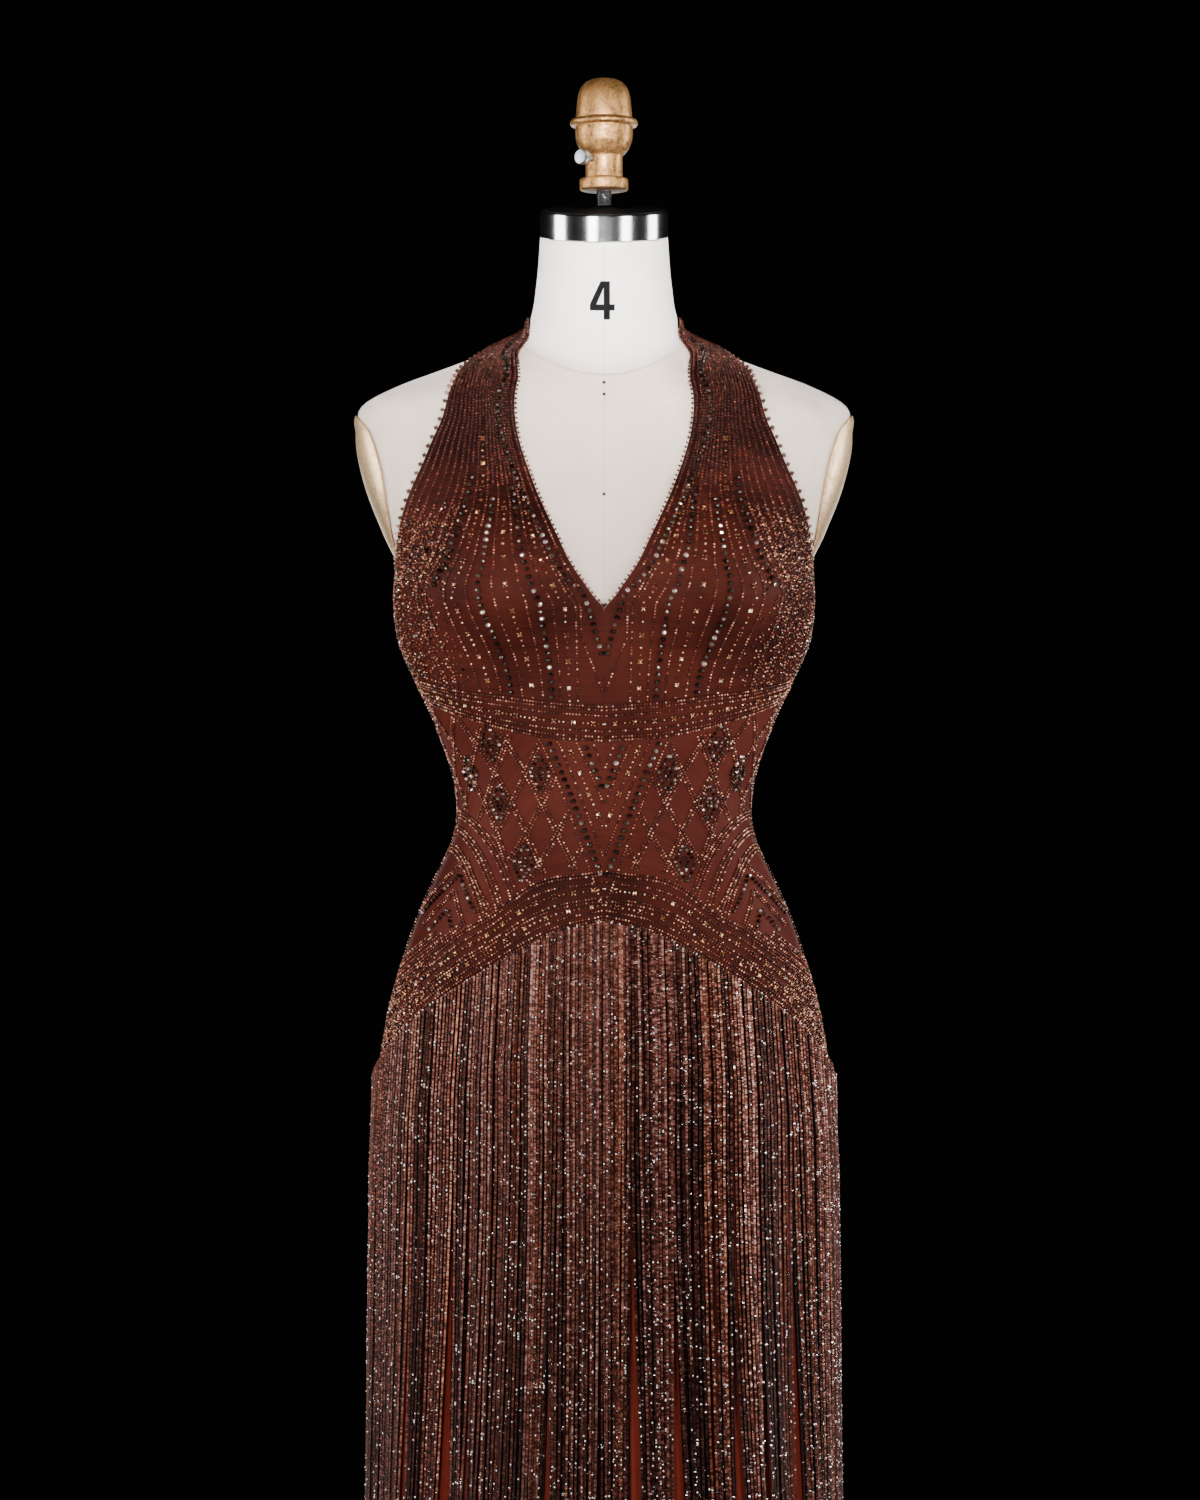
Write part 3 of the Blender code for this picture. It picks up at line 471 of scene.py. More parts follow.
def add_turned(name, profile, foot, axis, material, segments=64, sharp=40.0):
    """A turned piece, closed by a flat face across each end of its profile."""
    closed = [(ON_AXIS, profile[0][1]), *profile, (ON_AXIS, profile[-1][1])]
    return tube(name, turned(closed, foot, axis, segments), material, sharp)


pin_steel, _ = plain_material("pin_steel", (0.012, 0.011, 0.010), 0.35, 0.4)
PIN_HEAD = ((0.0013, -0.0002), (0.0014, 0.0001), (0.0009, 0.0006))
for index, level in enumerate(PIN_LEVELS):
    below = -FORM_INSET if level < INSET_FADES[0] else 0.0
    spot, out = surface(form_radius, 0.0, level, below, with_normal=True)
    pin = add_turned(f"pin_{index + 1}", PIN_HEAD, spot, out, pin_steel, segments=10)
    settle(pin, ROOT, "steel")

# The ring on the neck, its plate and the rod
# A band of brushed steel round a black plate that closes the neck, with a thin threaded rod through it.
SLOPE = FORM_SECTIONS[-1, 5]
NECK_LEAN_Y, SEAM = -0.012, 0.0003
CAP_RADIUS, CAP_THICK, CAP_WALL, CAP_BEVEL, CAP_LIP = 0.0497, 0.0222, 0.0022, 0.0006, 0.0020
ROD_RADIUS, ROD_TOP, ROD_PITCH = 0.0058, 1.5761, 0.0013


def steel_finish():
    """Brushed steel: fine lines round the ring that vary the roughness and the grey."""
    made, shader, place, _ = finish("brushed_steel", (0.5, 0.5, 0.5), 0.3, 1.0)
    stretched = place.node("ShaderNodeMapping", None, {"Vector": place, "Scale": (3.0, 3.0, 220.0)})
    lines = stretched.noise(14.0, 3.0)
    feed(shader, Base_Color=lines.ramp((0.25, (0.55, 0.55, 0.555)), (0.75, (0.85, 0.85, 0.86))),
         Roughness=lines * 0.10 + 0.09, Normal=lines.bump(0.0001, 0.2))
    return made


def handled_finish(name, colour, metallic, scale, spread, roughness, detail=2.0, **fixed):
    """A plain colour whose roughness wanders over the piece: a noise times its spread, plus the least."""
    made, shader, place, _ = finish(name, colour, roughness, metallic, **fixed)
    feed(shader, Roughness=place.noise(scale, detail) * spread + roughness)
    return made


steel = steel_finish()
black_plate = handled_finish("black_plate", (0.003, 0.003, 0.003), 0.0, 60.0, 0.25, 0.3,
                             Specular_IOR_Level=0.06)
cap_axis = np.array([0.0, -SLOPE, 1.0]) / math.hypot(SLOPE, 1.0)
cap_foot = np.array([0.0, NECK_LEAN_Y, FORM_SECTIONS[-1, 0] + SLOPE * NECK_LEAN_Y]) + SEAM * cap_axis
inner, edge, lip = CAP_RADIUS - CAP_WALL, CAP_RADIUS - CAP_BEVEL, CAP_THICK - CAP_LIP
ring = add_turned("neck_ring", (
    (edge, 0.0), (CAP_RADIUS, CAP_BEVEL), (CAP_RADIUS, lip - CAP_BEVEL), (edge, lip), (inner, lip)),
    cap_foot, cap_axis, steel, 96)
settle(ring, ROOT, "steel", "neck_cap")
plate_foot = cap_foot + cap_axis * (CAP_THICK - 0.0019)
plate = add_turned("neck_plate", (
    (inner, 0.0), (inner, 0.0010), (inner - 0.0014, 0.0019), (0.012, 0.0019), (0.0105, 0.0030)),
    plate_foot, cap_axis, black_plate, 96)
settle(plate, ROOT, "steel")
rod_steel, rod_shader, place, _ = finish("dark_rod", (0.20, 0.20, 0.21), 0.22, 1.0)
thread = place.maths("SINE", place.part("Z") * (2 * math.pi / ROD_PITCH))
feed(rod_shader, Normal=thread.bump(0.0004, 0.8))
rod_low = cap_foot[2] + CAP_THICK / cap_axis[2] + ROD_RADIUS * SLOPE + SEAM
rod = add_turned("threaded_rod", ((ROD_RADIUS, rod_low), (ROD_RADIUS, ROD_TOP)), (0, NECK_LEAN_Y, 0),
                 (0, 0, 1), rod_steel, 32)
settle(rod, ROOT, "steel", "neck_rod")

# The finial and its thumb screw
# A turned cast knob with old gold paint, rough from the sand it was cast in, locked by a zinc screw.
FINIAL_PROFILE = (
    (0.0170, 0.0000), (0.0184, 0.0002), (0.0190, 0.0010), (0.0190, 0.0076), (0.0187, 0.0085),
    (0.0180, 0.0090), (0.0158, 0.0092), (0.0147, 0.0097), (0.0145, 0.0110), (0.0145, 0.0256),
    (0.0147, 0.0267), (0.0156, 0.0279), (0.0170, 0.0292), (0.0187, 0.0314), (0.0204, 0.0346),
    (0.0214, 0.0372), (0.0221, 0.0400), (0.0225, 0.0440), (0.0226, 0.0480), (0.0226, 0.0494),
    (0.0240, 0.0496), (0.0256, 0.0503), (0.0264, 0.0513), (0.0266, 0.0524), (0.0263, 0.0537),
    (0.0254, 0.0548), (0.0240, 0.0555), (0.0224, 0.0558), (0.0219, 0.0562), (0.0220, 0.0570),
    (0.0218, 0.0605), (0.0214, 0.0650), (0.0210, 0.0690), (0.0205, 0.0730), (0.0197, 0.0764),
    (0.0184, 0.0795), (0.0167, 0.0820), (0.0142, 0.0844), (0.0108, 0.0861), (0.0062, 0.0871),
    (0.0020, 0.0874),
)


def gilt_finish(name, light=(0.43, 0.215, 0.072), dark=(0.11, 0.048, 0.014)):
    """Gold paint on cast metal: a fine grain of light and brown, darker in the pits, mostly metallic."""
    made, shader, place, _ = finish(name, light, 0.42, 0.75)
    blotch, grain = place.noise(150.0, 5.0, 0.6), place.noise(460.0, 4.0, 0.7)
    mix = blotch * 0.35 + grain * 0.65
    feed(shader, Base_Color=mix.ramp((0.40, dark), (0.53, light)), Roughness=0.55 - blotch * 0.30,
         Normal=(grain * 0.6 + blotch).bump(0.0006, 0.45))
    return made


gilt = gilt_finish("cast_gilt")
finial_foot = (0.0, NECK_LEAN_Y, ROD_TOP + SEAM)
finial = add_turned("cast_finial", FINIAL_PROFILE, finial_foot, (0, 0, 1), gilt, 96, sharp=50.0)
settle(finial, ROOT, "gilt", "finial")
zinc = handled_finish("zinc_screw", (0.30, 0.31, 0.33), 1.0, 240.0, 0.3, 0.2)
FINIAL_STEM, THUMB_HEIGHT, THUMB_TURN = 0.0145, 1.5997, math.radians(42.0)
thumb_way = np.array([-math.sin(THUMB_TURN), -math.cos(THUMB_TURN), 0.0])
thumb_side = np.array([-math.cos(THUMB_TURN), math.sin(THUMB_TURN), 0.0])
thumb_at = np.array([0.0, NECK_LEAN_Y, THUMB_HEIGHT]) + (FINIAL_STEM + SEAM) * thumb_way
KNURLS, KNURL_DEPTH, KNURLS_BEYOND = 24, 0.00035, 0.005
THUMB_PROFILE = ((ON_AXIS, 0.0), (0.0027, 0.0), (0.0027, 0.0068), (0.0052, 0.0070), (0.0060, 0.0080),
                 (0.0060, 0.0125), (0.0054, 0.0134), (0.0030, 0.0137), (ON_AXIS, 0.0137))
rings = turned(THUMB_PROFILE, (0, 0, 0), thumb_way, 96)
aside, along = rings @ thumb_side, (rings @ thumb_way)[..., None] * thumb_way
spin, reach = np.arctan2(rings[..., 2], aside), np.hypot(rings[..., 2], aside)
cut = KNURL_DEPTH * (0.5 + 0.5 * np.cos(KNURLS * spin)) * (reach > KNURLS_BEYOND)
rings = (rings - along) * ((reach - cut) / reach)[..., None] + along + thumb_at
settle(tube("thumb_screw_zinc", rings, zinc), "lock_screw", "steel", "thumb_screw")

# The plates over the armholes
# A dished oval of pressed metal in dull gold closes each armhole, its rim rolled towards the linen.
PLATE_MIDDLE, PLATE_HALF_TALL, PLATE_HALF_TURN = 1.345, 0.056, 15.5
PLATE_SEAT, PLATE_DOME, PLATE_RIM = 0.0001, 0.0050, 0.0018
dull_gold = gilt_finish("dull_gold_plate", (0.80, 0.56, 0.33), (0.50, 0.33, 0.17))
share = np.linspace(0, 1, 15)[1:, None]
for side, name in ((1, "left"), (-1, "right")):
    turn = side * np.arange(72) * 2 * math.pi / 72
    angle = side * (90 + PLATE_HALF_TURN * share * np.sin(turn))
    level = PLATE_MIDDLE + PLATE_HALF_TALL * share * np.cos(turn)
    rise = PLATE_RIM + (PLATE_DOME - PLATE_RIM) * np.sqrt(1 - share**2)
    back, front = (surface(form_radius, angle, level, PLATE_SEAT + lift + 0 * angle) for lift in (0, rise))
    hubs = [surface(form_radius, side * 90.0, PLATE_MIDDLE, PLATE_SEAT + lift) for lift in (0, PLATE_DOME)]
    plate = tube(f"dished_plate_{name}", np.concatenate([back, front[::-1]]), dull_gold, hubs=hubs)
    settle(plate, ROOT, "gilt", f"arm_plate_{name}")

# The gown's cloth
# Rust satin in panels that meet at the seams: halter cups with their straps, a narrow band, a midriff, a
# hip band, two low backs and a flared underskirt, each a thin wall that follows the form, then the skirt.
CLOTH_GAP, CLOTH_OUT, STRAP_SEAT, CLOTH_WALL = 0.0017, 0.0031, 0.0014, 0.0015
SKIRT_SECTIONS = np.array([
    # level, half_width, front, back, square, flute
    (0.015, 0.3000, 0.2850, 0.3450, 2.00, 0.0150),
    (0.070, 0.2800, 0.2620, 0.3180, 2.00, 0.0125),
    (0.130, 0.2570, 0.2360, 0.2870, 2.00, 0.0098),
    (0.200, 0.2310, 0.2060, 0.2500, 2.02, 0.0068),
    (0.280, 0.2060, 0.1750, 0.2090, 2.05, 0.0038),
    (0.370, 0.1895, 0.1470, 0.1710, 2.10, 0.0014),
    (0.460, 0.1820, 0.1300, 0.1480, 2.15, 0.0),
    (0.570, 0.1798, 0.1195, 0.1400, 2.20, 0.0),
    (0.680, 0.1786, 0.1135, 0.1382, 2.20, 0.0),
    (0.790, 0.1774, 0.1095, 0.1374, 2.20, 0.0),
    (0.850, 0.1767, 0.1082, 0.1372, 2.20, 0.0),
])
FLUTES, FLUTE_DRIFT, SKIRT_TAKES_OVER, SKIRT_OVER_FORM = 8, 0.5, 0.850, 0.0017
UNDERBUST_SEAM = np.array([
    # angle, level
    (0, 1.1734), (27, 1.1774), (42, 1.1816), (58, 1.1859), (71, 1.1911), (90, 1.1980),
])
BAND_SEAM = np.array([
    # angle, level
    (0, 1.1454), (28, 1.1493), (45, 1.1564), (61, 1.1660), (71, 1.1726), (90, 1.1830),
])
HIP_BAND_TOP = np.array([
    # angle, level
    (0, 1.0468), (6, 1.0453), (33, 1.0343), (47, 1.0118), (55, 1.0022), (64, 0.9860),
    (74, 0.9700), (90, 0.9520),
])
HIP_SEAM = np.array([
    # angle, level
    (0, 1.0100), (22, 0.9992), (34, 0.9865), (47.5, 0.9677), (60, 0.9460), (69, 0.9270),
    (79, 0.9020), (90, 0.8830), (110, 0.8640), (140, 0.8560), (180, 0.8620),
])
BACK_TOP = np.array([
    # angle, level
    (90, 1.2680), (100, 1.2540), (115, 1.2170), (130, 1.1830), (150, 1.1500), (180, 1.1330),
])
CUP_ROWS = np.array([
    # row, inner_angle, inner_level, outer_angle, outer_level
    (0, 0.0, 1.1734, 90.0, 1.1980),
    (1, 0.0, 1.1950, 90.0, 1.2180),
    (2, 0.0, 1.2170, 90.0, 1.2420),
    (3, 0.0, 1.2428, 90.0, 1.2680),
    (4, 5.0, 1.2560, 83.0, 1.2810),
    (5, 8.9, 1.2670, 76.0, 1.2930),
    (6, 13.3, 1.2810, 71.0, 1.3060),
    (7, 17.8, 1.3000, 67.3, 1.3220),
    (8, 22.5, 1.3180, 64.3, 1.3400),
    (9, 28.0, 1.3380, 62.2, 1.3580),
    (10, 33.5, 1.3600, 61.0, 1.3780),
    (11, 37.8, 1.3800, 60.3, 1.3970),
    (12, 40.5, 1.3980, 61.5, 1.4120),
    (13, 42.3, 1.4150, 65.0, 1.4260),
    (14, 44.5, 1.4310, 70.0, 1.4360),
    (15, 50.0, 1.4440, 77.0, 1.4450),
    (16, 60.0, 1.4550, 85.0, 1.4500),
    (17, 70.0, 1.4640, 92.5, 1.4520),
    (18, 79.0, 1.4705, 99.0, 1.4520),
    (19, 88.0, 1.4740, 105.5, 1.4515),
    (20, 96.0, 1.4760, 112.0, 1.4510),
])
NECK_BAND_LEVELS, NECK_BAND_STARTS, NECK_SEAM_ANGLE = (1.4510, 1.4760), (112.0, 96.0), 0.45
USUAL_RADIUS, ZIP_HALF, SATIN_SPECULAR = 0.15, 0.0035, 0.05
HALF_SEAM_ANGLE = math.degrees(SEAM / 2 / USUAL_RADIUS)


def satin_finish(name, dark, light, lift=0.0, painted_shade_above_level=9.0):
    """Satin: faint crosswise threads and a slow mottle between two tones, with painted shade that darkens it
    above a level.
    """
    made, shader, place, across = finish(name, light, 0.62, 0.0, Specular_IOR_Level=SATIN_SPECULAR)
    stretched = across.node("ShaderNodeMapping", None, {"Vector": across, "Scale": (14.0, 420.0, 1.0)})
    thread, mottle = stretched.noise(1.0, 2.0), place.noise(16.0, 3.0)
    # Painted shade: darker above the given level, for the shade among the strap's dense beads.
    above = place.maths("MAXIMUM", place.part("Z") - painted_shade_above_level, 0.0)
    tone = mottle * 0.65 + thread * 0.35 + lift - above * 3.5
    feed(shader, Base_Color=tone.ramp((0.32, dark), (0.66, light)),
         Roughness=thread * 0.16 + 0.52, Normal=(thread + mottle * 0.4).bump(0.00025, 0.5))
    return made


# Painted shade: a darker copy of the rust satin for the shade among dense beads, darker still above 1.28 m.
painted_shade_satin = satin_finish("satin_with_painted_shade", (0.012, 0.0016, 0.0008), (0.062, 0.0108, 0.0066), 0.05, 1.28)
body_satin = satin_finish("rust_satin", (0.050, 0.0076, 0.0046), (0.088, 0.0168, 0.0108))
skirt_satin = satin_finish("skirt_satin", (0.080, 0.0085, 0.0040), (0.115, 0.0145, 0.0075))
# Painted shade: the fringe tape's satin is nearly black, for the shadow along the top of the fringe.
tape_satin = satin_finish("tape_satin", (0.012, 0.0012, 0.0006), (0.022, 0.0026, 0.0013))


def seam_level(table, angle):
    """A seam's level at this angle, on a smooth cubic through its table, the same on both sides."""
    return between(table, 1, np.abs(angle))


def skirt_radius(angle, level):
    """The skirt's section plus flutes: the flute height times the cosine of eight drifting turns."""
    sizes = [between(SKIRT_SECTIONS, column, level) for column in (1, 2, 3, 4)]
    turn = np.radians(angle)
    wave = np.cos(FLUTES * turn + FLUTE_DRIFT * np.sin(3 * turn))
    return outline(*sizes, angle) + between(SKIRT_SECTIONS, 5, level) * wave


def garment_radius(angle, level):
    """The form's radius above the hip, and below it the skirt's own less its step over the form."""
    upper = form_radius(angle, np.maximum(level, SKIRT_TAKES_OVER))
    return np.where(level >= SKIRT_TAKES_OVER, upper, skirt_radius(angle, level) - SKIRT_OVER_FORM)


def cup_place(share, row):
    """Angle and level at a share from neckline to armhole along a row, with row 0 on the seam."""
    ends = [between(CUP_ROWS, column, row) for column in (1, 2, 3, 4)]
    inner_angle, inner_level, outer_angle, outer_level = ends
    inner_angle = np.maximum(inner_angle, HALF_SEAM_ANGLE)
    outer_angle = np.minimum(outer_angle, 90 - HALF_SEAM_ANGLE + 30 * (row > 10))
    angle = inner_angle * (1 - share) + outer_angle * share
    level = inner_level * (1 - share) + outer_level * share
    straight = CUP_ROWS[0, 2] * (1 - share) + CUP_ROWS[0, 4] * share
    lift = np.clip(1 - row / 3, 0, 1)
    return angle, level + lift * (seam_level(UNDERBUST_SEAM, angle) + SEAM / 2 - straight)


def run_along(points, axis):
    """The distance run to each point along an axis of an array: the sum of the lengths of its steps."""
    steps = np.linalg.norm(np.diff(points, axis=axis), axis=-1)
    return np.insert(np.cumsum(steps, axis=axis), 0, 0.0, axis=axis)


def wall(name, angle, level, gap, out, material, radius_of):
    """A closed wall of cloth between two distances off a surface, over a grid of angles and levels.

    Its uv is the run in metres along the rows and up the columns, and its cut is measured on it: the
    widest row, the longest column, and the sum of the sizes of its quads.
    """
    inner, outer = (surface(radius_of, angle, level, np.broadcast_to(off, angle.shape))
                    for off in (gap, out))
    uv = np.stack([run_along(outer, 1), run_along(outer, 0)], -1)
    steps_across, steps_up = np.diff(uv[..., 0], axis=1), np.diff(uv[..., 1], axis=0)
    size = (0.25 * (steps_across[1:] + steps_across[:-1]) * (steps_up[:, 1:] + steps_up[:, :-1])).sum()
    points, faces = slab(inner, outer)
    if angle[0, -1] < angle[0, 0]:
        faces = faces[:, ::-1]
    made = mesh_object(name, points, faces, material, np.tile(uv.reshape(-1, 2), (2, 1)), sharp=50.0)
    return made, float(uv[:, -1, 0].max()), float(uv[-1, :, 1].max()), float(size)


def wrapped_radius(angle, level):
    """The garment's radius at angles that run on past the back."""
    return garment_radius(wrap(angle), level)


def panel(name, angle, level, material, node, gap=CLOTH_GAP, radius_of=wrapped_radius, held="stretched",
          on=("linen_body",)):
    """A panel of the gown: a wall of cloth that rides on the root body and stands for its node."""
    made, widest, longest, size = wall(name, angle, level, gap, CLOTH_OUT, material, radius_of)
    settle(made, ROOT, "satin", node)


def level_grid(angles, low, high, rows):
    """Angles and levels of a grid whose columns run straight from a low level to a high one."""
    share = np.linspace(0, 1, rows)[:, None]
    return np.broadcast_to(angles, (rows, len(angles))), low + (high - low) * share


share, row = np.meshgrid(np.linspace(0, 1, 57), np.linspace(0, 20, 141))
strap_gap = np.interp(row, (16, 20), (CLOTH_GAP, STRAP_SEAT))
cup_angle, cup_level = cup_place(share, row)
for side, name in ((1, "left"), (-1, "right")):
    panel(f"cup_and_strap_{name}", side * cup_angle, cup_level, painted_shade_satin, f"bust_{name}", strap_gap,
          form_radius)
level = np.broadcast_to(np.linspace(*NECK_BAND_LEVELS, 9)[:, None], (9, 61))
start = np.interp(level, NECK_BAND_LEVELS, NECK_BAND_STARTS) + NECK_SEAM_ANGLE
panel("neck_band_satin", start + (360 - 2 * start) * np.linspace(0, 1, 61), level, painted_shade_satin, "neck_band",
      STRAP_SEAT, lambda a, h: form_radius(wrap(a), h))
front = np.linspace(-1, 1, 121) * (90 - HALF_SEAM_ANGLE)
for name, top, bottom, rows, look, node in (
    ("underbust_band_satin", UNDERBUST_SEAM, BAND_SEAM, 9, painted_shade_satin, "underbust_band"),
    ("midriff_satin", BAND_SEAM, HIP_BAND_TOP, 45, body_satin, "midriff_front"),
    ("hip_band_satin", HIP_BAND_TOP, HIP_SEAM, 17, painted_shade_satin, "hip_band_front"),
):
    low, high = seam_level(bottom, front) + SEAM / 2, seam_level(top, front) - SEAM / 2
    panel(name, *level_grid(front, low, high, rows), look, node)
back = 90 + HALF_SEAM_ANGLE + np.linspace(0, 1, 61) * (90 - HALF_SEAM_ANGLE)
for side, name in ((1, "left"), (-1, "right")):
    angle, level = level_grid(back, seam_level(HIP_SEAM, back) + SEAM / 2, seam_level(BACK_TOP, back), 73)
    zip_edge = 180 - np.degrees((ZIP_HALF + SEAM) / garment_radius(np.float64(180.0), level))
    panel(f"back_satin_{name}", side * np.minimum(angle, zip_edge), level, body_satin, f"back_{name}")
around = np.linspace(-1, 1, 145) * (90 - HALF_SEAM_ANGLE)
for middle, name in ((0.0, "front"), (180.0, "back")):
    high = seam_level(HIP_SEAM, wrap(middle + around)) - SEAM / 2
    angle, level = level_grid(middle + around, SKIRT_SECTIONS[0, 0], high, 97)
    panel(f"underskirt_satin_{name}", angle, level, skirt_satin, f"underskirt_{name}", held="hung",
          on=("hip_band_satin", "back_satin_left", "back_satin_right"))

# Bead stitching, shared by every row and motif
# Glass seed beads, faceted dark beads and cupped sequins, each sewn down on the cloth. A bead is thirteen
# numbers: its place, the cloth's normal, the thread's way, its width, its length and two random shares.
SEED_WIDE, SEED_LONG, SEED_PITCH, STRAP_DULLNESS = 0.0020, 0.0021, 0.0024, 0.50
JET_WIDE, JET_PITCH = 0.0044, 0.0057
SEQUIN_WIDE, PAIR_APART, CLUSTER_OUT = 0.0028, 0.0027, 0.0018
PETAL_WIDE, BLOSSOM_LIFT, STRAP_FADES, WAY_STEP = 0.0016, 0.0012, (1.29, 1.38), 1e-4
BLOSSOM_PITCH, SEED_LIFT, JET_LIFT = 0.0195, 0.36, 0.40
chance = np.random.default_rng(4)
BEADS_OF = {"seed": [], "jet": [], "gold": [], "edge": [], "sequin": []}


def sewn(angle, level, lift):
    """Points on the cloth at this lift, with the cloth's normals."""
    return surface(garment_radius, wrap(angle), level, np.full(np.shape(angle), CLOTH_OUT + lift), True)


def strung(angle, level, pitch, lift, beside=0.0):
    """Places, normals and ways at an even spacing along a line: the run is the sum of its steps' lengths,
    and beside moves them across the line along the cloth."""
    points, normal = sewn(angle, level, lift)
    run = run_along(points, 0)
    count = int(run[-1] / pitch)
    at = (np.arange(count) + 0.5) * run[-1] / max(count, 1)
    reads = ((points, at), (normal, at), (points, at + WAY_STEP), (points, at - WAY_STEP))
    place, out, ahead, behind = (np.stack([np.interp(here, run, part) for part in item.T], -1)
                                 for item, here in reads)
    way, out = unit(ahead - behind), unit(out)
    return np.concatenate([place + beside * np.cross(out, way), out, way], axis=1)


def sew(kind, line, wide, long, dull=1.0):
    """Adds beads at these places and their mirror images, a little uneven, and duller on the straps."""
    for flip in (1.0, -1.0):
        mirrored = line * np.array([flip, 1, 1, flip, 1, 1, flip, 1, 1])
        sizes = np.array([wide, long]) * chance.uniform(0.92, 1.08, (len(line), 2))
        shares = chance.random((len(line), 2))
        shares[:, 0] *= dull * np.interp(line[:, 2], STRAP_FADES, (1.0, STRAP_DULLNESS))
        BEADS_OF[kind].append(np.concatenate([mirrored, sizes, shares], axis=1))


def seed_row(angle, level, double=False):
    """A row of seed beads along a line on the cloth, or two rows side by side."""
    for beside in ((-PAIR_APART / 2, PAIR_APART / 2) if double else (0.0,)):
        line = strung(angle, level, SEED_PITCH, SEED_WIDE * SEED_LIFT, beside)
        sew("seed", line, SEED_WIDE, SEED_LONG)


def jet_row(angle, level, pitch=JET_PITCH, wide=JET_WIDE):
    """A row of faceted dark beads along a line on the cloth."""
    sew("jet", strung(angle, level, pitch, wide * JET_LIFT), wide, wide * 0.9)


def blossom_row(angle, level, pitch=BLOSSOM_PITCH):
    """At a wide pitch, four gold beads round a small sequin, with single beads between the clusters."""
    line = strung(angle, level, pitch, BLOSSOM_LIFT)
    sew("sequin", line, SEQUIN_WIDE, 0.0010)
    beside = np.cross(line[:, 3:6], line[:, 6:9])
    for quarter in range(4):
        turn = math.radians(45 + 90 * quarter)
        petal = line.copy()
        petal[:, :3] += CLUSTER_OUT * (math.cos(turn) * line[:, 6:9] + math.sin(turn) * beside)
        sew("gold", petal, PETAL_WIDE, PETAL_WIDE - 0.0001, 0.8)
    for share, kind, wide in ((-0.5, "gold", 0.0026), (-0.27, "seed", 0.0022), (0.27, "seed", 0.0022)):
        near = strung(angle, level, pitch, 0.0009)
        near[:, :3] += share * pitch * near[:, 6:9]
        sew(kind, near, wide, wide * 0.95)


def where_inside(angle, level, keep):
    """The stretches of a line where keep holds, each as its own angles and levels."""
    inside = keep(angle, level)
    edges = np.flatnonzero(np.diff(np.concatenate([[False], inside, [False]]).astype(int)))
    return [(angle[a:b], level[a:b]) for a, b in zip(edges[::2], edges[1::2]) if b - a > 3]


def scatter(lines, shake, swing, seed_share, jet_share, dull):
    """Beads from lines and how full each place is, shaken along the cloth and swung round: most are seed
    beads, some gold ones and a few small dark ones."""
    kept = []
    for line, fullness in lines:
        across = np.cross(line[:, 3:6], line[:, 6:9])
        moved = chance.uniform(-1, 1, (len(line), 2)) * shake
        line[:, :3] += moved[:, :1] * across + moved[:, 1:] * line[:, 6:9]
        if swing:
            line[:, 6:9] = unit(line[:, 6:9] + chance.uniform(-swing, swing, (len(line), 1)) * across)
        kept.append(line[chance.random(len(line)) < fullness])
    kept = np.concatenate(kept)
    pick = chance.random(len(kept))
    sew("seed", kept[pick < seed_share], SEED_WIDE, SEED_LONG, dull)
    sew("gold", kept[(pick >= seed_share) & (pick < jet_share)], 0.0020, 0.0019)
    sew("jet", kept[pick >= jet_share], 0.0027, 0.0025)


SEW_ROW = {"seed": seed_row, "jet": jet_row, "blossom": blossom_row}

# The cups' beading
# Rows fan down from the strap: seed beads on each side of a dark or a golden row, all turning with the
# neckline. They crowd together on the strap, and the sides are filled with scattered beads.
ROWS_ON_CUP = (
    # kind, share from neckline to armhole, lowest level, highest level
    ("seed", 0.045, 1.262, 1.50), ("seed", 0.125, 1.17, 1.50), ("blossom", 0.165, 1.17, 1.345),
    ("seed", 0.165, 1.350, 1.50), ("seed", 0.205, 1.17, 1.50), ("jet", 0.245, 1.176, 1.338),
    ("seed", 0.245, 1.344, 1.50), ("seed", 0.285, 1.17, 1.50), ("blossom", 0.330, 1.17, 1.330),
    ("seed", 0.330, 1.338, 1.50), ("seed", 0.375, 1.17, 1.50), ("jet", 0.420, 1.178, 1.330),
    ("seed", 0.420, 1.338, 1.50), ("seed", 0.465, 1.17, 1.50), ("blossom", 0.510, 1.18, 1.385),
    ("seed", 0.510, 1.392, 1.50), ("seed", 0.555, 1.17, 1.50), ("jet", 0.605, 1.262, 1.348),
    ("seed", 0.605, 1.356, 1.50), ("seed", 0.650, 1.17, 1.50), ("seed", 0.700, 1.20, 1.50),
    ("blossom", 0.700, 1.262, 1.320), ("seed", 0.755, 1.285, 1.50), ("seed", 0.810, 1.290, 1.50),
    ("seed", 0.865, 1.295, 1.50), ("seed", 0.915, 1.300, 1.50),
)
NECK_JET_IN, V_TIP_LEVEL, SEED_V_TIP_LEVEL = 0.0100, 1.2030, 1.1805
V_TIP_ANGLE, SEED_V_TIP_ANGLE, SEED_V_SHARE = 0.9, 0.4, 0.105
SCATTER_FROM, SCATTER_FULL, SCATTER_TOP, SCATTER_PITCH = 0.555, 0.70, 1.330, 0.0029
cup_run = np.linspace(0.02, 20, 900)
for kind, share, low, high in ROWS_ON_CUP:
    for a, h in where_inside(*cup_place(share, cup_run), lambda a, h: (h > low) & (h < high)):
        SEW_ROW[kind](a, h)
neck_run = np.linspace(4.2, 17.2, 500)
angle, level = cup_place(0.0, neck_run)
inward = np.degrees(NECK_JET_IN / form_radius(angle, level)) * np.clip((neck_run - 3) / 2, 0.4, 1)
inward *= np.interp(neck_run, (12, 15), (1.0, 0.55))
jet_angle, jet_level = angle + inward, level - 0.004 * np.clip((neck_run - 14) / 2, 0, 1)
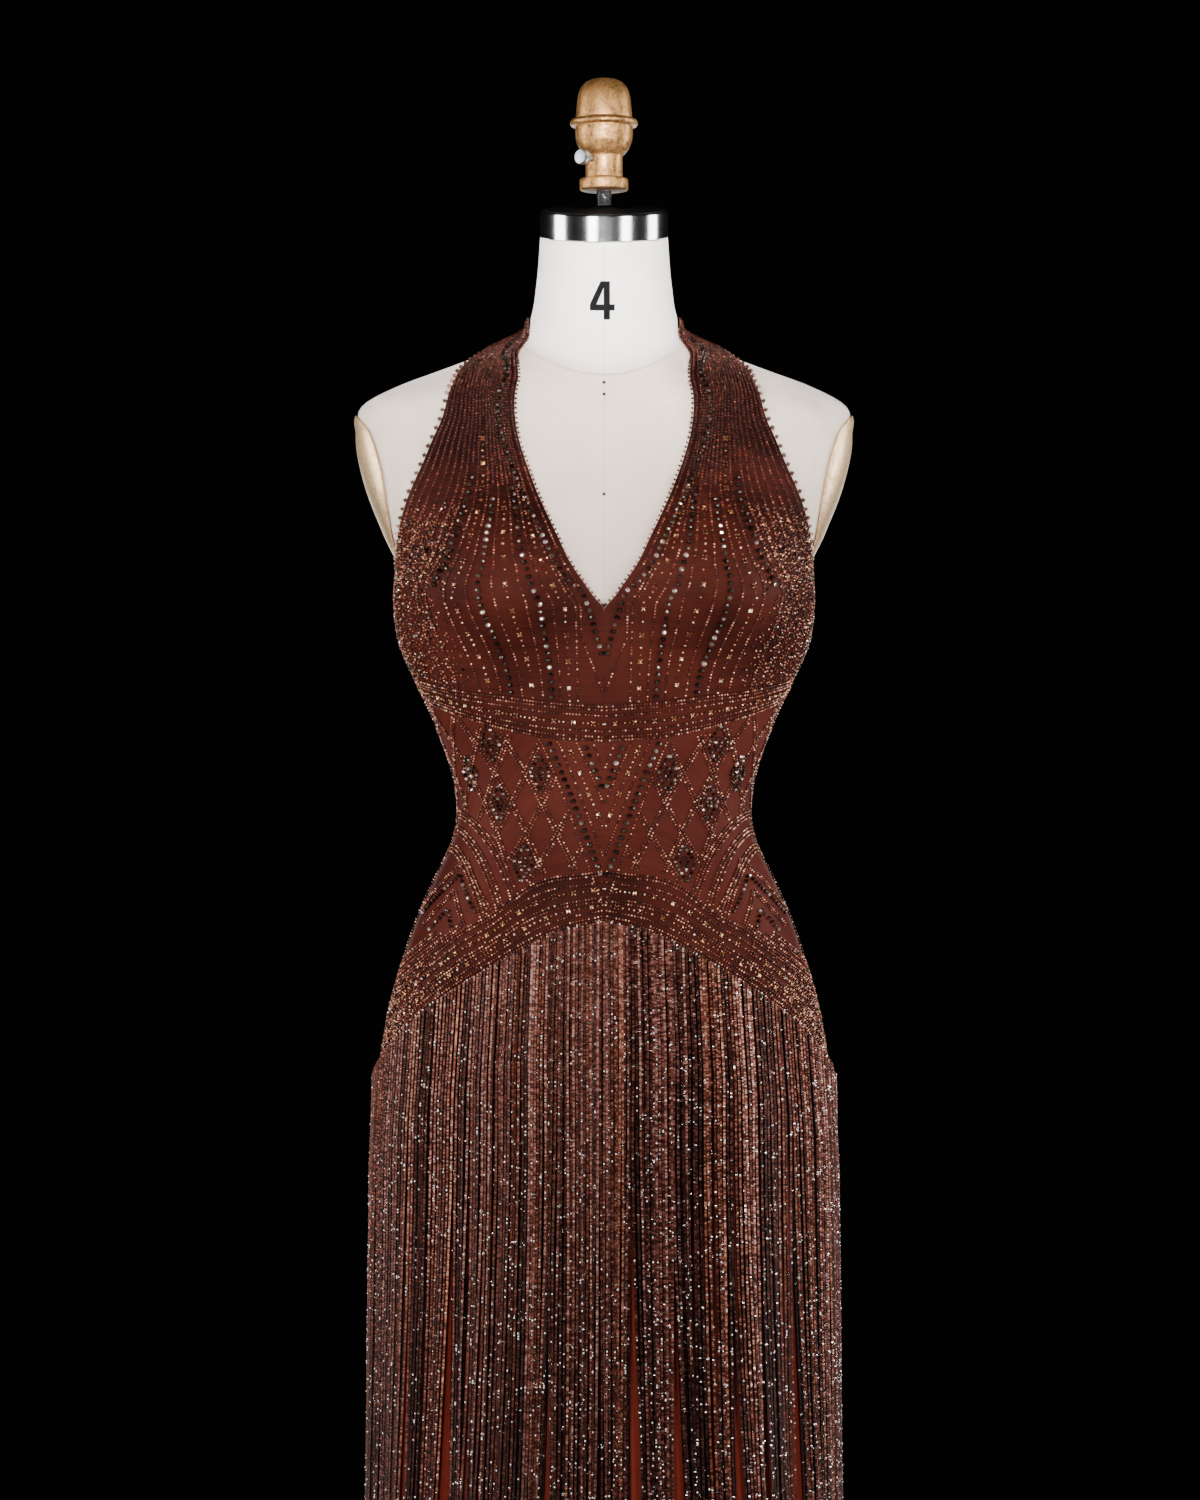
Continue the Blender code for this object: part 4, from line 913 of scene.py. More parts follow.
tip_angle = np.linspace(V_TIP_ANGLE, jet_angle[0], 12)[:-1]
tip_level = V_TIP_LEVEL + (jet_level[0] - V_TIP_LEVEL) * (tip_angle / jet_angle[0]) ** 0.9
jet_row(np.concatenate([tip_angle, jet_angle]), np.concatenate([tip_level, jet_level]))
inner_angle, inner_level = cup_place(SEED_V_SHARE, np.linspace(2.2, 6.0, 60))
seed_v = np.linspace(SEED_V_TIP_ANGLE, inner_angle[0], 14)[:-1]
seed_v_level = SEED_V_TIP_LEVEL + (inner_level[0] - SEED_V_TIP_LEVEL) * (seed_v / inner_angle[0])
seed_row(np.concatenate([seed_v, inner_angle]), np.concatenate([seed_v_level, inner_level]))

scattered = []
for here in np.arange(SCATTER_FROM, 0.995, 0.0150):
    for a, h in where_inside(*cup_place(here, cup_run), lambda a, h: (h > 1.186) & (h < SCATTER_TOP)):
        line = strung(a, h, SCATTER_PITCH, SEED_WIDE * SEED_LIFT)
        fullness = np.clip((here - SCATTER_FROM) / (SCATTER_FULL - SCATTER_FROM), 0.12, 1)
        scattered.append((line, 0.88 * fullness * np.clip((SCATTER_TOP - line[:, 2]) / 0.030, 0, 1) ** 0.6))
scatter(scattered, (0.0009, 0.0013), 0.8, 0.86, 0.94, 0.93)

# The edges' beading
# Fine seed beads stand along the neckline, and larger ones stand off the armhole's edge one by one.
ARMHOLE_PITCH, ARMHOLE_WIDE, NECKLINE_PITCH, NECKLINE_WIDE = 0.0076, 0.0044, 0.0040, 0.0025
EDGE_OUT, EDGE_SUNK = 0.45, 0.0006
rows = np.linspace(3.02, 20, 700)
for share, pitch, wide, kind in ((0.0, NECKLINE_PITCH, NECKLINE_WIDE, "seed"),
                                 (1.0, ARMHOLE_PITCH, ARMHOLE_WIDE, "edge")):
    angle, level = cup_place(share, rows)
    outward = -1.0 if share == 0.0 else 1.0
    line = strung(angle, level, pitch, 0.0)
    across = np.cross(line[:, 3:6], line[:, 6:9])
    line[:, :3] -= outward * across * wide * EDGE_OUT + line[:, 3:6] * EDGE_SUNK
    sew(kind, line, wide, wide * 0.95)
seed_row(*cup_place(0.965, np.linspace(5.2, 20, 500)))

# The band's beading
# Double seed rows run along both of its edges, with a row of golden sequins between them.
reach = np.linspace(0.4, 89.6, 400)
top, bottom = seam_level(UNDERBUST_SEAM, reach), seam_level(BAND_SEAM, reach)
for share, double in ((0.10, True), (0.30, False), (0.72, False), (0.92, True)):
    seed_row(reach, top + share * (bottom - top), double)
blossom_row(reach, top + 0.52 * (bottom - top), pitch=0.0150)

# The midriff's beading
# Nested V rows at the centre, a lattice of diamonds in double rows beside them, some filled with dark
# beads, and three arcs that rise over each hip with plain satin between them.
V_ROWS = (
    # kind, top angle, top level, tip level
    ("seed", 28.9, 1.1508, 1.0197), ("jet", 25.1, 1.1485, 1.0385), ("seed", 21.2, 1.1500, 1.0575),
    ("blossom", 17.2, 1.1480, 1.0790), ("seed", 12.9, 1.1480, 1.0985), ("jet", 8.8, 1.1438, 1.1080),
    ("seed", 5.0, 1.1450, 1.1250),
)
CELL_WIDE, CELL_TALL, CELL_AT = 14.3, 0.0465, (35.6, 1.1450)
CELL_MARGIN, V_BLOSSOM_PITCH, V_CLEAR_ANGLE, V_CLEAR = 0.0030, 0.0170, 0.35, 0.0022
BEYOND_V, BEYOND_ARC, DIAMONDS, DIAMOND_JET = 0.8, 1.06, (0.62, 0.22), (0.0033, 0.0030)
JET_CELLS = ((49.9, 1.1450), (28.9, 1.1218), (48.9, 1.0985), (64.0, 1.1218), (35.6, 1.0520))
ARC_MIDDLE, ARC_FOOT, ARCS = 80.0, 0.960, ((50.0, 0.130), (43.5, 0.117), (37.0, 0.103))
ARC_INSIDE, ARC_DROP, ARC_CLEAR = (2.1, 0.0042), 0.09, (0.001, 0.023)


def in_midriff(angle, level):
    """Whether a place is on the midriff, clear of its seams."""
    below = level < seam_level(BAND_SEAM, angle) - CELL_MARGIN
    return below & (level > seam_level(HIP_BAND_TOP, angle) + CELL_MARGIN) & (angle > 0.3)


def in_lattice(angle, level):
    """Outside the widest V and outside the widest arc, read as a fraction of its two half sizes."""
    _, top_angle, top_level, tip = V_ROWS[0]
    beyond = angle > top_angle * (level - tip) / (top_level - tip) + BEYOND_V
    half_wide, half_tall = ARCS[0]
    spread = ((angle - ARC_MIDDLE) / half_wide) ** 2 + ((level - ARC_FOOT) / half_tall) ** 2
    return in_midriff(angle, level) & beyond & (spread > BEYOND_ARC) & (angle < 89.5)


def arc_row(half_wide, half_tall, double):
    """A row along half an ellipse over the hip, which then drops straight down to the back's hip rows."""
    turn, drop = np.linspace(0, math.pi, 1500), np.linspace(0.0005, ARC_DROP, 200)
    angle = np.concatenate([ARC_MIDDLE - half_wide * np.cos(turn), np.full(200, ARC_MIDDLE + half_wide)])
    level = np.concatenate([ARC_FOOT + half_tall * np.sin(turn), ARC_FOOT - drop])
    front, back = seam_level(HIP_BAND_TOP, angle) + ARC_CLEAR[0], seam_level(HIP_SEAM, angle) + ARC_CLEAR[1]
    lowest = np.where(angle < 90, front, back)
    seed_row(angle[level > lowest], level[level > lowest], double)


for kind, top_angle, top_level, tip in V_ROWS:
    share = np.linspace(0.0 if kind == "seed" else 0.03, 1, 160)
    angle, level = V_CLEAR_ANGLE + (top_angle - V_CLEAR_ANGLE) * share, tip + (top_level - tip) * share
    level = np.minimum(level, seam_level(BAND_SEAM, angle) - V_CLEAR)
    SEW_ROW[kind](angle, level, **({"pitch": V_BLOSSOM_PITCH} if kind == "blossom" else {}))
sweep = np.linspace(0, 92, 700)
for slope in (-1, 1):
    start = CELL_AT[0] / (CELL_WIDE / 2) - slope * CELL_AT[1] / (CELL_TALL / 2)
    for step in range(-9, 10):
        level = slope * (sweep / (CELL_WIDE / 2) - start - 2 * step - 1) * CELL_TALL / 2
        for a, h in where_inside(sweep, level, in_lattice):
            seed_row(a, h, double=True)
for middle, height in JET_CELLS:
    for size in DIAMONDS:
        corner = np.linspace(0, 1, 24)[:, None]
        tips = np.array([(0, 1), (1, 0), (0, -1), (-1, 0), (0, 1)], float) * size / 2
        path = np.concatenate([tips[k] * (1 - corner) + tips[k + 1] * corner for k in range(4)])
        jet_row(middle + path[:, 0] * CELL_WIDE, height + path[:, 1] * CELL_TALL, *DIAMOND_JET)
for half_wide, half_tall in ARCS:
    arc_row(half_wide, half_tall, double=True)
    arc_row(half_wide - ARC_INSIDE[0], half_tall - ARC_INSIDE[1], double=False)
CHEVRONS = (
    # kind, angle and level of the front foot, of the peak and of the side foot
    ("double", 46.5, 1.0155, 63.0, 1.0540, 85.0, 1.0130),
    ("jet", 52.0, 1.0130, 63.5, 1.0420, 80.0, 1.0100),
    ("double", 56.0, 1.0040, 64.0, 1.0300, 76.0, 1.0020),
    ("jet", 60.5, 1.0010, 64.5, 1.0160, 71.0, 0.9980),
)
for kind, front_angle, front_level, peak_angle, peak_level, side_angle, side_level in CHEVRONS:
    share = np.linspace(0, 1, 60)
    for foot_angle, foot_level in ((front_angle, front_level), (side_angle, side_level)):
        angle = peak_angle + (foot_angle - peak_angle) * share
        level = peak_level + (foot_level - peak_level) * share
        if kind == "jet":
            jet_row(angle, level, 0.0040, 0.0032)
        else:
            seed_row(angle, level, double=True)

# The hip band's beading
# Rows follow both seams from hip to hip, with golden sequins between, and crowd together at the sides.
CROWD_FROM, CROWD_PITCH, CROWD_STEP, CROWD_FULL_AT = 46, 0.0027, 0.034, 0.17
reach = np.linspace(0.4, 89.6, 500)
top, bottom = seam_level(HIP_BAND_TOP, reach), seam_level(HIP_SEAM, reach)
for share, double in ((0.04, True), (0.22, False), (0.56, True), (0.80, False), (0.95, True)):
    seed_row(reach, top + share * (bottom - top), double)
blossom_row(reach, top + 0.36 * (bottom - top), pitch=0.0150)
blossom_row(reach, top + 0.69 * (bottom - top), pitch=0.0170)
for first_angle, rise, double in ((57.0, 0.0050, True), (64.0, 0.0115, False), (67.0, 0.0165, True)):
    beyond = reach > first_angle
    seed_row(reach[beyond], top[beyond] + rise, double)
wide, filled = reach > CROWD_FROM, []
for here in np.arange(0.10, 0.95, CROWD_STEP):
    line = strung(reach[wide], (top + here * (bottom - top))[wide], CROWD_PITCH, SEED_WIDE * SEED_LIFT)
    filled.append((line, np.clip(np.abs(line[:, 0]) / CROWD_FULL_AT, 0, 1) ** 6))
scatter(filled, (0.0010, 0.0010), 0.0, 0.84, 0.93, 0.95)

# The back's beading
# The back isn't in the photograph. It has the plain edge rows that the front's seams have, and no motif.
reach = np.linspace(90.4, 178.4, 500)
for drop, double in ((0.0030, True), (0.0085, False)):
    seed_row(reach, seam_level(BACK_TOP, reach) - drop, double)
for rise, double in ((0.0030, True), (0.0100, False), (0.0185, True)):
    seed_row(reach, seam_level(HIP_SEAM, reach) + rise, double)
blossom_row(reach, seam_level(HIP_SEAM, reach) + 0.0142, pitch=0.0170)
low, high = NECK_BAND_LEVELS
for level in np.linspace(low + 0.0015, high - 0.0015, 9):
    start = np.interp(level, NECK_BAND_LEVELS, NECK_BAND_STARTS)
    seed_row(np.linspace(start, 180.0, 200), np.full(200, level))
seed_row(np.full(80, 90.25), np.linspace(0.888, 1.262, 80))

# The beads themselves
# The beads of a kind are joined, the seed beads in two meshes: copper-lined seed beads, dark faceted glass,
# pale gold, brown beads on the armhole's edge, and small cupped sequins.
BEAD_SHAPES = {
    # kind: its sides, the width and height of its rings, and the heights of its poles, as shares of its size
    "seed": (6, ((1.0, 0.0),), (-0.5, 0.5)),
    "gold": (6, ((1.0, 0.0),), (-0.5, 0.5)),
    "edge": (7, ((1.0, 0.0),), (-0.5, 0.5)),
    "jet": (7, ((0.72, -0.34), (1.0, 0.0), (0.72, 0.34)), (-0.46, 0.46)),
    "sequin": (9, ((1.0, -0.02), (1.0, 0.02)), (-0.13, -0.09)),
}


def bead_shape(kind):
    """One bead's points, with x off the cloth, y across and z along the thread, and its triangles."""
    sides, rings, poles = BEAD_SHAPES[kind]
    turn = np.arange(sides) * 2 * math.pi / sides
    ring = np.stack([np.cos(turn), np.sin(turn), 0 * turn], -1) * 0.5
    points = np.concatenate([ring * (wide, wide, 1) + (0, 0, high) for wide, high in rings]
                            + [[(0, 0, high)] for high in poles])
    if kind == "sequin":
        points = points[:, [2, 0, 1]]
    quads = grid_quads(len(rings), sides, wraps=True)
    return points, np.concatenate([quads[:, [0, 1, 2]], quads[:, [0, 2, 3]], end_fans(len(rings), sides)])


def copies(faces, count, points):
    """The faces of many copies of a shape, each copy with this many points."""
    return (faces + points * np.arange(count)[:, None, None]).reshape(-1, faces.shape[1])


def bead_mesh(name, kind, beads, material, tilt):
    """All beads of a kind: the shape, turned by a random angle about its thread and tilted, in place."""
    shape, triangles = bead_shape(kind)
    place, out, way, (wide, long) = beads[:, 0:3], beads[:, 3:6], beads[:, 6:9], beads[:, 9:11].T[..., None]
    if tilt:
        out = unit(out + chance.uniform(-tilt, tilt, out.shape))
    way = unit(way - (way * out).sum(1, keepdims=True) * out)
    side = np.cross(way, out)
    if kind == "sequin":
        long = wide
    else:
        roll = chance.uniform(0, 2 * math.pi, (len(beads), 1))
        out, side = out * np.cos(roll) + side * np.sin(roll), side * np.cos(roll) - out * np.sin(roll)
    frames = np.stack([out * wide, side * wide, way * long], 1)
    points = (place[:, None] + shape @ frames).reshape(-1, 3)
    uv = np.repeat(beads[:, 11:13], len(shape), axis=0)
    return mesh_object(name, points, copies(triangles, len(beads), len(shape)), material, uv,
                       smooth=kind in ("seed", "gold"), sharp=0)


def glass_finish(name, stops, roughness, metallic, coat=0.4):
    """Lined glass: each bead takes its own tone from its random share, and its own shine."""
    made, shader, _, shares = finish(name, stops[-1][1], roughness, metallic, Coat_Weight=coat,
                                     Coat_Roughness=0.08)
    feed(shader, Base_Color=shares.part("X").ramp(*stops), Roughness=shares.part("Y") * 0.2 + roughness)
    return made


GLASS = {
    # kind: its material, the tones that its beads take by their shares, roughness, metallic, coat and tilt
    "seed": ("copper_seed_glass", (
        (0.00, (0.030, 0.0045, 0.0022)), (0.35, (0.070, 0.0120, 0.0060)), (0.72, (0.320, 0.0900, 0.0450)),
        (1.00, (0.950, 0.520, 0.340))), 0.22, 0.60, 0.4, 0.0),
    "jet": ("dark_faceted_glass", (
        (0.00, (0.012, 0.0065, 0.0042)), (0.55, (0.034, 0.0200, 0.0145)), (0.80, (0.120, 0.0800, 0.0600)),
        (1.00, (0.700, 0.5800, 0.5000))), 0.12, 0.75, 0.15, 0.0),
    "gold": ("pale_gold_glass", (
        (0.00, (0.200, 0.080, 0.035)), (0.60, (0.560, 0.300, 0.150)), (1.00, (1.000, 0.860, 0.680))),
        0.14, 0.9, 0.4, 0.0),
    "edge": ("brown_edge_glass", (
        (0.00, (0.090, 0.038, 0.026)), (0.70, (0.260, 0.130, 0.095)), (1.00, (0.700, 0.520, 0.420))),
        0.2, 0.5, 0.3, 0.0),
    "sequin": ("gold_sequin_film", (
        (0.00, (0.140, 0.045, 0.015)), (0.60, (0.420, 0.200, 0.070)), (1.00, (0.950, 0.720, 0.480))),
        0.14, 1.0, 0.4, 0.55),
}
MOST_BEADS_A_MESH = 14000
for kind, (*look, tilt) in GLASS.items():
    material, beads = glass_finish(*look), np.concatenate(BEADS_OF[kind])
    for index, some in enumerate(np.array_split(beads, -(-len(beads) // MOST_BEADS_A_MESH))):
        settle(bead_mesh(f"{kind}_beads_{index + 1}", kind, some, material, tilt), ROOT, "fringe")

# The bead fringe
# Strings of tiny cut beads, sewn side by side to a tape along the hip seam and falling free to the hem.
# They hang in two layers, gather in uneven clumps, and part at a few places where the satin shows.
STRING_THICK, STRINGS_A_HALF, STRING_BEAD, STRING_STATIONS = 0.0020, 166, 0.0013, 15
LAYER_CLEAR, FRINGE_HEM, CLEAR_AT_HEM, CLUMP_SWAY = (0.0022, 0.0048), 0.022, 0.0050, 0.0022
# Painted shade: the inner layer's strings are painted darker, and all strings darker towards the bottom.
GLINTS, BUNCH, GLINT_SIZE, INNER_LAYER_PAINTED_SHADE, LOWER_PAINTED_SHADE = (1200, 4800), 4, (0.0015, 0.0021), 0.36, 0.12
PARTINGS = (-151.0, -128.0, -104.0, -79.0, -52.0, -20.0, 11.4, 26.0, 45.0, 63.0, 88.0, 117.0, 139.0, 166.0)
PARTING_FROM, PARTING_HALF, PARTING_REACH, PARTING_CALM = 0.84, 0.0046, 4.2, 3.2
CLUMP_FALL, PARTING_FALL, PARTING_SPREAD, HEM_UNEVEN = 0.35, 0.25, 0.05, 0.004
ROOT_DROP, STATION_POWER, CLEAR_FROM, CLEAR_FALL, STRING_WANDER = 0.0010, 0.92, 0.55, 0.5, 0.0006
BUNCH_SPREAD, GLINT_SUNK, ROOT_SHIFT, GLINT_TILT = (3.0, 0.45), 0.0002, 0.22, 0.3
TAPE_TALL, TAPE_CLEAR, TAPE_DEEP = 0.0075, 0.0005, 0.0012


def soft_wander(seed, at, period):
    """Smooth values from -1 to 1 along the angles: random ones every period, eased by a cosine."""
    knots = np.random.default_rng(seed).uniform(-1, 1, 4096)
    step = (np.asarray(at) + 400.0) / period
    low = np.floor(step).astype(int)
    ease = (1 - np.cos(math.pi * (step - low))) / 2
    return knots[low % 4096] * (1 - ease) + knots[(low + 1) % 4096] * ease


def string_angle(root, level, top):
    """Where a string hangs: its root's angle, plus clumps that grow with the fall and open partings."""
    fall = np.clip((top - level) / CLUMP_FALL, 0, 1)
    reach = garment_radius(wrap(root), level)
    clump = soft_wander(11, root, 2.9) + 0.8 * soft_wander(12, root + 6 * level, 1.3)
    shift, calm, parted = CLUMP_SWAY * clump * fall, 1.0, 0.0
    for number, parting in enumerate(PARTINGS):
        away = wrap(root - parting)
        opened = np.clip((PARTING_FROM - PARTING_SPREAD * (number % 3) - level) / PARTING_FALL, 0, 1)
        parted = parted + np.sign(away) * PARTING_HALF * opened * np.exp(-((away / PARTING_REACH) ** 2))
        calm = calm * (1 - opened * np.exp(-((away / PARTING_CALM) ** 2)))
    return root + np.degrees((shift * calm + parted) / reach)


def string_paths(roots, clear, offset_seed):
    """Rings of four points down each string, and the run to each: the hem is a little uneven, and the
    clearance grows to it."""
    top = seam_level(HIP_SEAM, wrap(roots)) - ROOT_DROP
    foot = FRINGE_HEM + np.random.default_rng(offset_seed).uniform(-HEM_UNEVEN, HEM_UNEVEN, len(roots))
    share = np.linspace(0, 1, STRING_STATIONS)[None, :] ** STATION_POWER
    level = top[:, None] + (foot - top)[:, None] * share
    root = np.broadcast_to(roots[:, None], level.shape)
    angle = string_angle(root, level, top[:, None])
    off = CLOTH_OUT + clear + CLEAR_AT_HEM * np.clip((CLEAR_FROM - level) / CLEAR_FALL, 0, 1)
    off = off + STRING_WANDER * soft_wander(offset_seed, root + 40 * level, 1.7)
    middle, out = surface(garment_radius, wrap(angle), level, off, with_normal=True)
    side = np.cross(unit(np.gradient(middle, axis=1)), out)
    corners = [middle + way * STRING_THICK / 2 for way in (side, out, -side, -out)]
    return np.stack(corners, 2), run_along(middle, 1)


def glints_on(paths, most):
    """Painted highlights: pale beads in loose bunches on the strings' outer corners, as rows of the bead
    stitching.
    """
    count, stations = paths.shape[:2]
    bunch = np.repeat(chance.random((most // BUNCH, 2)), BUNCH, axis=0) * (count, stations)
    bunch = bunch + chance.normal(0, 1, (most, 2)) * BUNCH_SPREAD
    string, at = bunch[:, 0].astype(int) % count, np.clip(bunch[:, 1], 0, stations - 1.001)
    station = at.astype(int)
    part = (at - station)[:, None]
    here, after = paths[string, station], paths[string, station + 1]
    outer = here[:, 1] * (1 - part) + after[:, 1] * part
    out = unit(outer - here.mean(1) * (1 - part) - after.mean(1) * part)
    return np.concatenate([outer - GLINT_SUNK * out, out, unit(after.mean(1) - here.mean(1)),
                           np.full((most, 2), GLINT_SIZE), chance.random((most, 2))], axis=1)


def white_noise(place, label, dimensions, output=0):
    """A random value from 0 to 1, or with output 1 a random colour, for each place."""
    return place.node("ShaderNodeTexWhiteNoise", {"noise_dimensions": dimensions}, {label: place}, output)


def vector_maths(operation, first, others):
    """Vector arithmetic on a socket and the other values given."""
    return first.node("ShaderNodeVectorMath", {"operation": operation}, {0: first, **others})


def string_finish():
    """Cut beads along each string: cells of the run and the string's number give each bead its tone and
    tilt, and each string has its own hue. The strings of the inner layer, numbered below 0, are painted
    darker as shade, all strings are painted darker towards the bottom as shade, and a few cells are painted
    pale as glints."""
    made, shader, place, across = finish("cut_bead_strings", (0.1, 0.043, 0.034), 0.3, 0.6)
    string, run = across.part("X"), across.part("Y") / STRING_BEAD
    cell = run.maths("FLOOR", run)
    spot = across.node("ShaderNodeCombineXYZ", None, {0: string, 1: cell})
    white, tone = white_noise(spot, "Vector", "2D"), white_noise(spot, "Vector", "2D", 1)
    streak, hue = white_noise(string, "W", "1D"), white_noise(string * 1.7, "W", "1D")
    # Painted highlights: a few bead cells take a near-white colour as glints.
    bright = white > 0.965
    drift = across.node("ShaderNodeCombineXYZ", None, {0: string * 7.3, 1: across.part("Y") * 22.0})
    # Painted shade: the strings turn darker towards the bottom, by at most a fixed amount.
    low = place.maths("MINIMUM", (0.92 - place.part("Z")) * LOWER_PAINTED_SHADE / 0.25, 0.17)
    shade = streak * 0.40 + drift.noise(1.0, 2.0) * 0.20 + tone.part("X") * 0.40
    # Painted shade: strings of the inner layer are darker, and all strings darker lower down.
    shade = shade + (string > 0) * INNER_LAYER_PAINTED_SHADE - INNER_LAYER_PAINTED_SHADE - low - 0.02
    warm = shade.ramp((0.14, (0.006, 0.0010, 0.0005)), (0.40, (0.075, 0.0150, 0.0070)),
                      (0.60, (0.300, 0.0860, 0.0440)), (0.84, (0.800, 0.3900, 0.2700)))
    cool = shade.ramp((0.14, (0.005, 0.0010, 0.0008)), (0.40, (0.055, 0.0140, 0.0110)),
                      (0.60, (0.220, 0.0760, 0.0620)), (0.84, (0.680, 0.3900, 0.3400)))
    feed(shader, Base_Color=bright.blend(hue.blend(cool, warm), (0.95, 0.86, 0.80)),
         Metallic=bright * 0.45 + 0.5, Roughness=0.40 - bright * 0.22)
    round_end = run.maths("FRACT", run) * 2 - 1
    height = (1 - round_end * round_end) * 0.7 + tone.part("Z") * 0.3
    facet = vector_maths("SUBTRACT", tone, {1: (0.5, 0.5, 0.5)})
    bent = vector_maths("SCALE", facet, {"Scale": bright * 1.2 + 0.25})
    tilted = vector_maths("ADD", bent, {1: height.bump(0.0007, 0.8)})
    feed(shader, Normal=vector_maths("NORMALIZE", tilted, {}))
    return made


string_glass = string_finish()
one_string = np.concatenate([grid_quads(STRING_STATIONS, 4, wraps=True)[:, ::-1], [(0, 1, 2, 3)],
                             4 * (STRING_STATIONS - 1) + np.array([(3, 2, 1, 0)])])
string_step, glints = 180.0 / STRINGS_A_HALF, []
for half, (name, middle) in enumerate((("front", 0.0), ("back", 180.0))):
    rings, marks = [], []
    for layer, clear in enumerate(LAYER_CLEAR):
        shift = np.random.default_rng(30 + layer).uniform(-ROOT_SHIFT, ROOT_SHIFT, STRINGS_A_HALF)
        roots = middle - 90 + (np.arange(STRINGS_A_HALF) + 0.25 + 0.5 * layer) * string_step
        paths, run = string_paths(roots + shift * string_step, clear, 51 + layer)
        number = (2 * half + layer) * STRINGS_A_HALF + np.arange(STRINGS_A_HALF) + 0.5
        number = (number if layer else -number)[:, None, None]
        rings.append(paths.reshape(-1, 3))
        mark = np.stack(np.broadcast_arrays(number, run[:, :, None] + np.zeros(4)), -1)
        marks.append(mark.reshape(-1, 2))
        glints.append(glints_on(paths, GLINTS[layer]))
    faces = copies(one_string, 2 * STRINGS_A_HALF, 4 * STRING_STATIONS)
    strings = mesh_object(f"bead_strings_{name}", np.concatenate(rings), faces, string_glass,
                          np.concatenate(marks), smooth=False)
    settle(strings, ROOT, "fringe", f"fringe_{name}")
    angles = middle + np.linspace(-1, 1, 181) * (90 - HALF_SEAM_ANGLE)
    tape_top = seam_level(HIP_SEAM, wrap(angles)) - SEAM
    tape = wall(f"fringe_tape_{name}", *level_grid(angles, tape_top - TAPE_TALL, tape_top, 5),
                CLOTH_OUT + TAPE_CLEAR, CLOTH_OUT + TAPE_CLEAR + TAPE_DEEP, tape_satin, wrapped_radius)[0]
    settle(tape, ROOT, "fringe")
# Painted highlights: the glint beads' pale, near-white tones stand in for glints of light on the fringe.
glint_glass = glass_finish("glint_painted_glass", (
    (0.00, (0.380, 0.210, 0.160)), (0.35, (0.850, 0.740, 0.680)), (1.00, (1.000, 0.970, 0.950))),
    0.16, 0.45)
glint_beads = bead_mesh("glint_painted_fringe_beads", "seed", np.concatenate(glints), glint_glass, GLINT_TILT)
settle(glint_beads, ROOT, "fringe")

# The zip and the neck button
# A coil zip closes the low back: woven tape, two rows of nylon teeth, a small slider and its pull, which
# turns on the slider. The strap closes behind the neck with a satin-covered button.
ZIP_TOP_DROP, ZIP_SLIDER_DROP, ZIP_TEETH_PITCH, TOOTH = 0.004, 0.006, 0.0021, (0.0018, 0.0009, 0.0011)
TOOTH_ASIDE, TOOTH_SUNK, TEETH_ENDS, HINGE_DROP = 0.0007, 0.0002, (0.004, 0.002), 0.002
ZIP_SLIDER_SIZE, ZIP_SLIDER_CLEAR = (0.0068, 0.0026, 0.0085), 0.0010
ZIP_PULL_LONG, ZIP_PULL_HALF, ZIP_PULL_THICK, ZIP_PULL_CLEAR = 0.022, 0.0034, 0.0012, 0.0005
CAD_WALL_OUT = 0.0032
BUTTON_ANGLE, BUTTON_SEAT = 126.0, 0.0014


def blocks(name, places, sizes, material, taper=0.8):
    """Small blocks at these places, all alike, with faces towards +Y a little smaller, joined."""
    signs = np.array([(i, j, k) for k in (-1, 1) for j in (-1, 1) for i in (-1, 1)], float) / 2
    narrow = np.where(signs[:, 1:2] > 0, taper, 1.0) * (1, 0, 1) + (0, 1, 0)
    points = np.asarray(places)[:, None] + signs * narrow * np.asarray(sizes)
    quads = np.array([(0, 2, 3, 1), (4, 5, 7, 6), (0, 1, 5, 4), (2, 6, 7, 3), (0, 4, 6, 2), (1, 3, 7, 5)])
    return mesh_object(name, points.reshape(-1, 3), copies(quads, len(points), 8), material, smooth=False)


def prism(name, edge, low, high, bevel, material):
    """A flat tab from y low to y high: its outline in x and z, clockwise, drawn in by the bevel at both."""
    edge = np.asarray(edge, float)
    face = edge + unit(edge.mean(0) - edge) * bevel
    rings = ((face, low), (edge, low + bevel), (edge, high - bevel), (face, high))
    return tube(name, np.stack([np.insert(ring, 1, y, axis=1) for ring, y in rings]), material)


top, bottom = BACK_TOP[-1, 1] - ZIP_TOP_DROP, HIP_SEAM[-1, 1] + SEAM / 2
levels = np.linspace(bottom, top, 90)
half_angle = np.degrees(ZIP_HALF / garment_radius(np.float64(180.0), levels))[:, None]
angle = 180.0 + half_angle * np.linspace(-1, 1, 7)
tape = wall("zip_tape_satin", angle, np.broadcast_to(levels[:, None], angle.shape), CLOTH_GAP, CLOTH_OUT,
            painted_shade_satin, wrapped_radius)[0]
settle(tape, ROOT, "satin", "zip_tape")
nylon = handled_finish("zip_nylon", (0.060, 0.014, 0.009), 0.0, 300.0, 0.2, 0.28)
tooth_levels = np.arange(bottom + TEETH_ENDS[0], top - TEETH_ENDS[1], ZIP_TEETH_PITCH)
spots, _ = sewn(np.full(len(tooth_levels), 180.0), tooth_levels, TOOTH[1] / 2 - TOOTH_SUNK)
spots = np.concatenate([spots + (TOOTH_ASIDE, 0, 0), spots + (-TOOTH_ASIDE, 0, ZIP_TEETH_PITCH / 2)])
settle(blocks("zip_teeth", spots, TOOTH, nylon), ROOT, "satin")

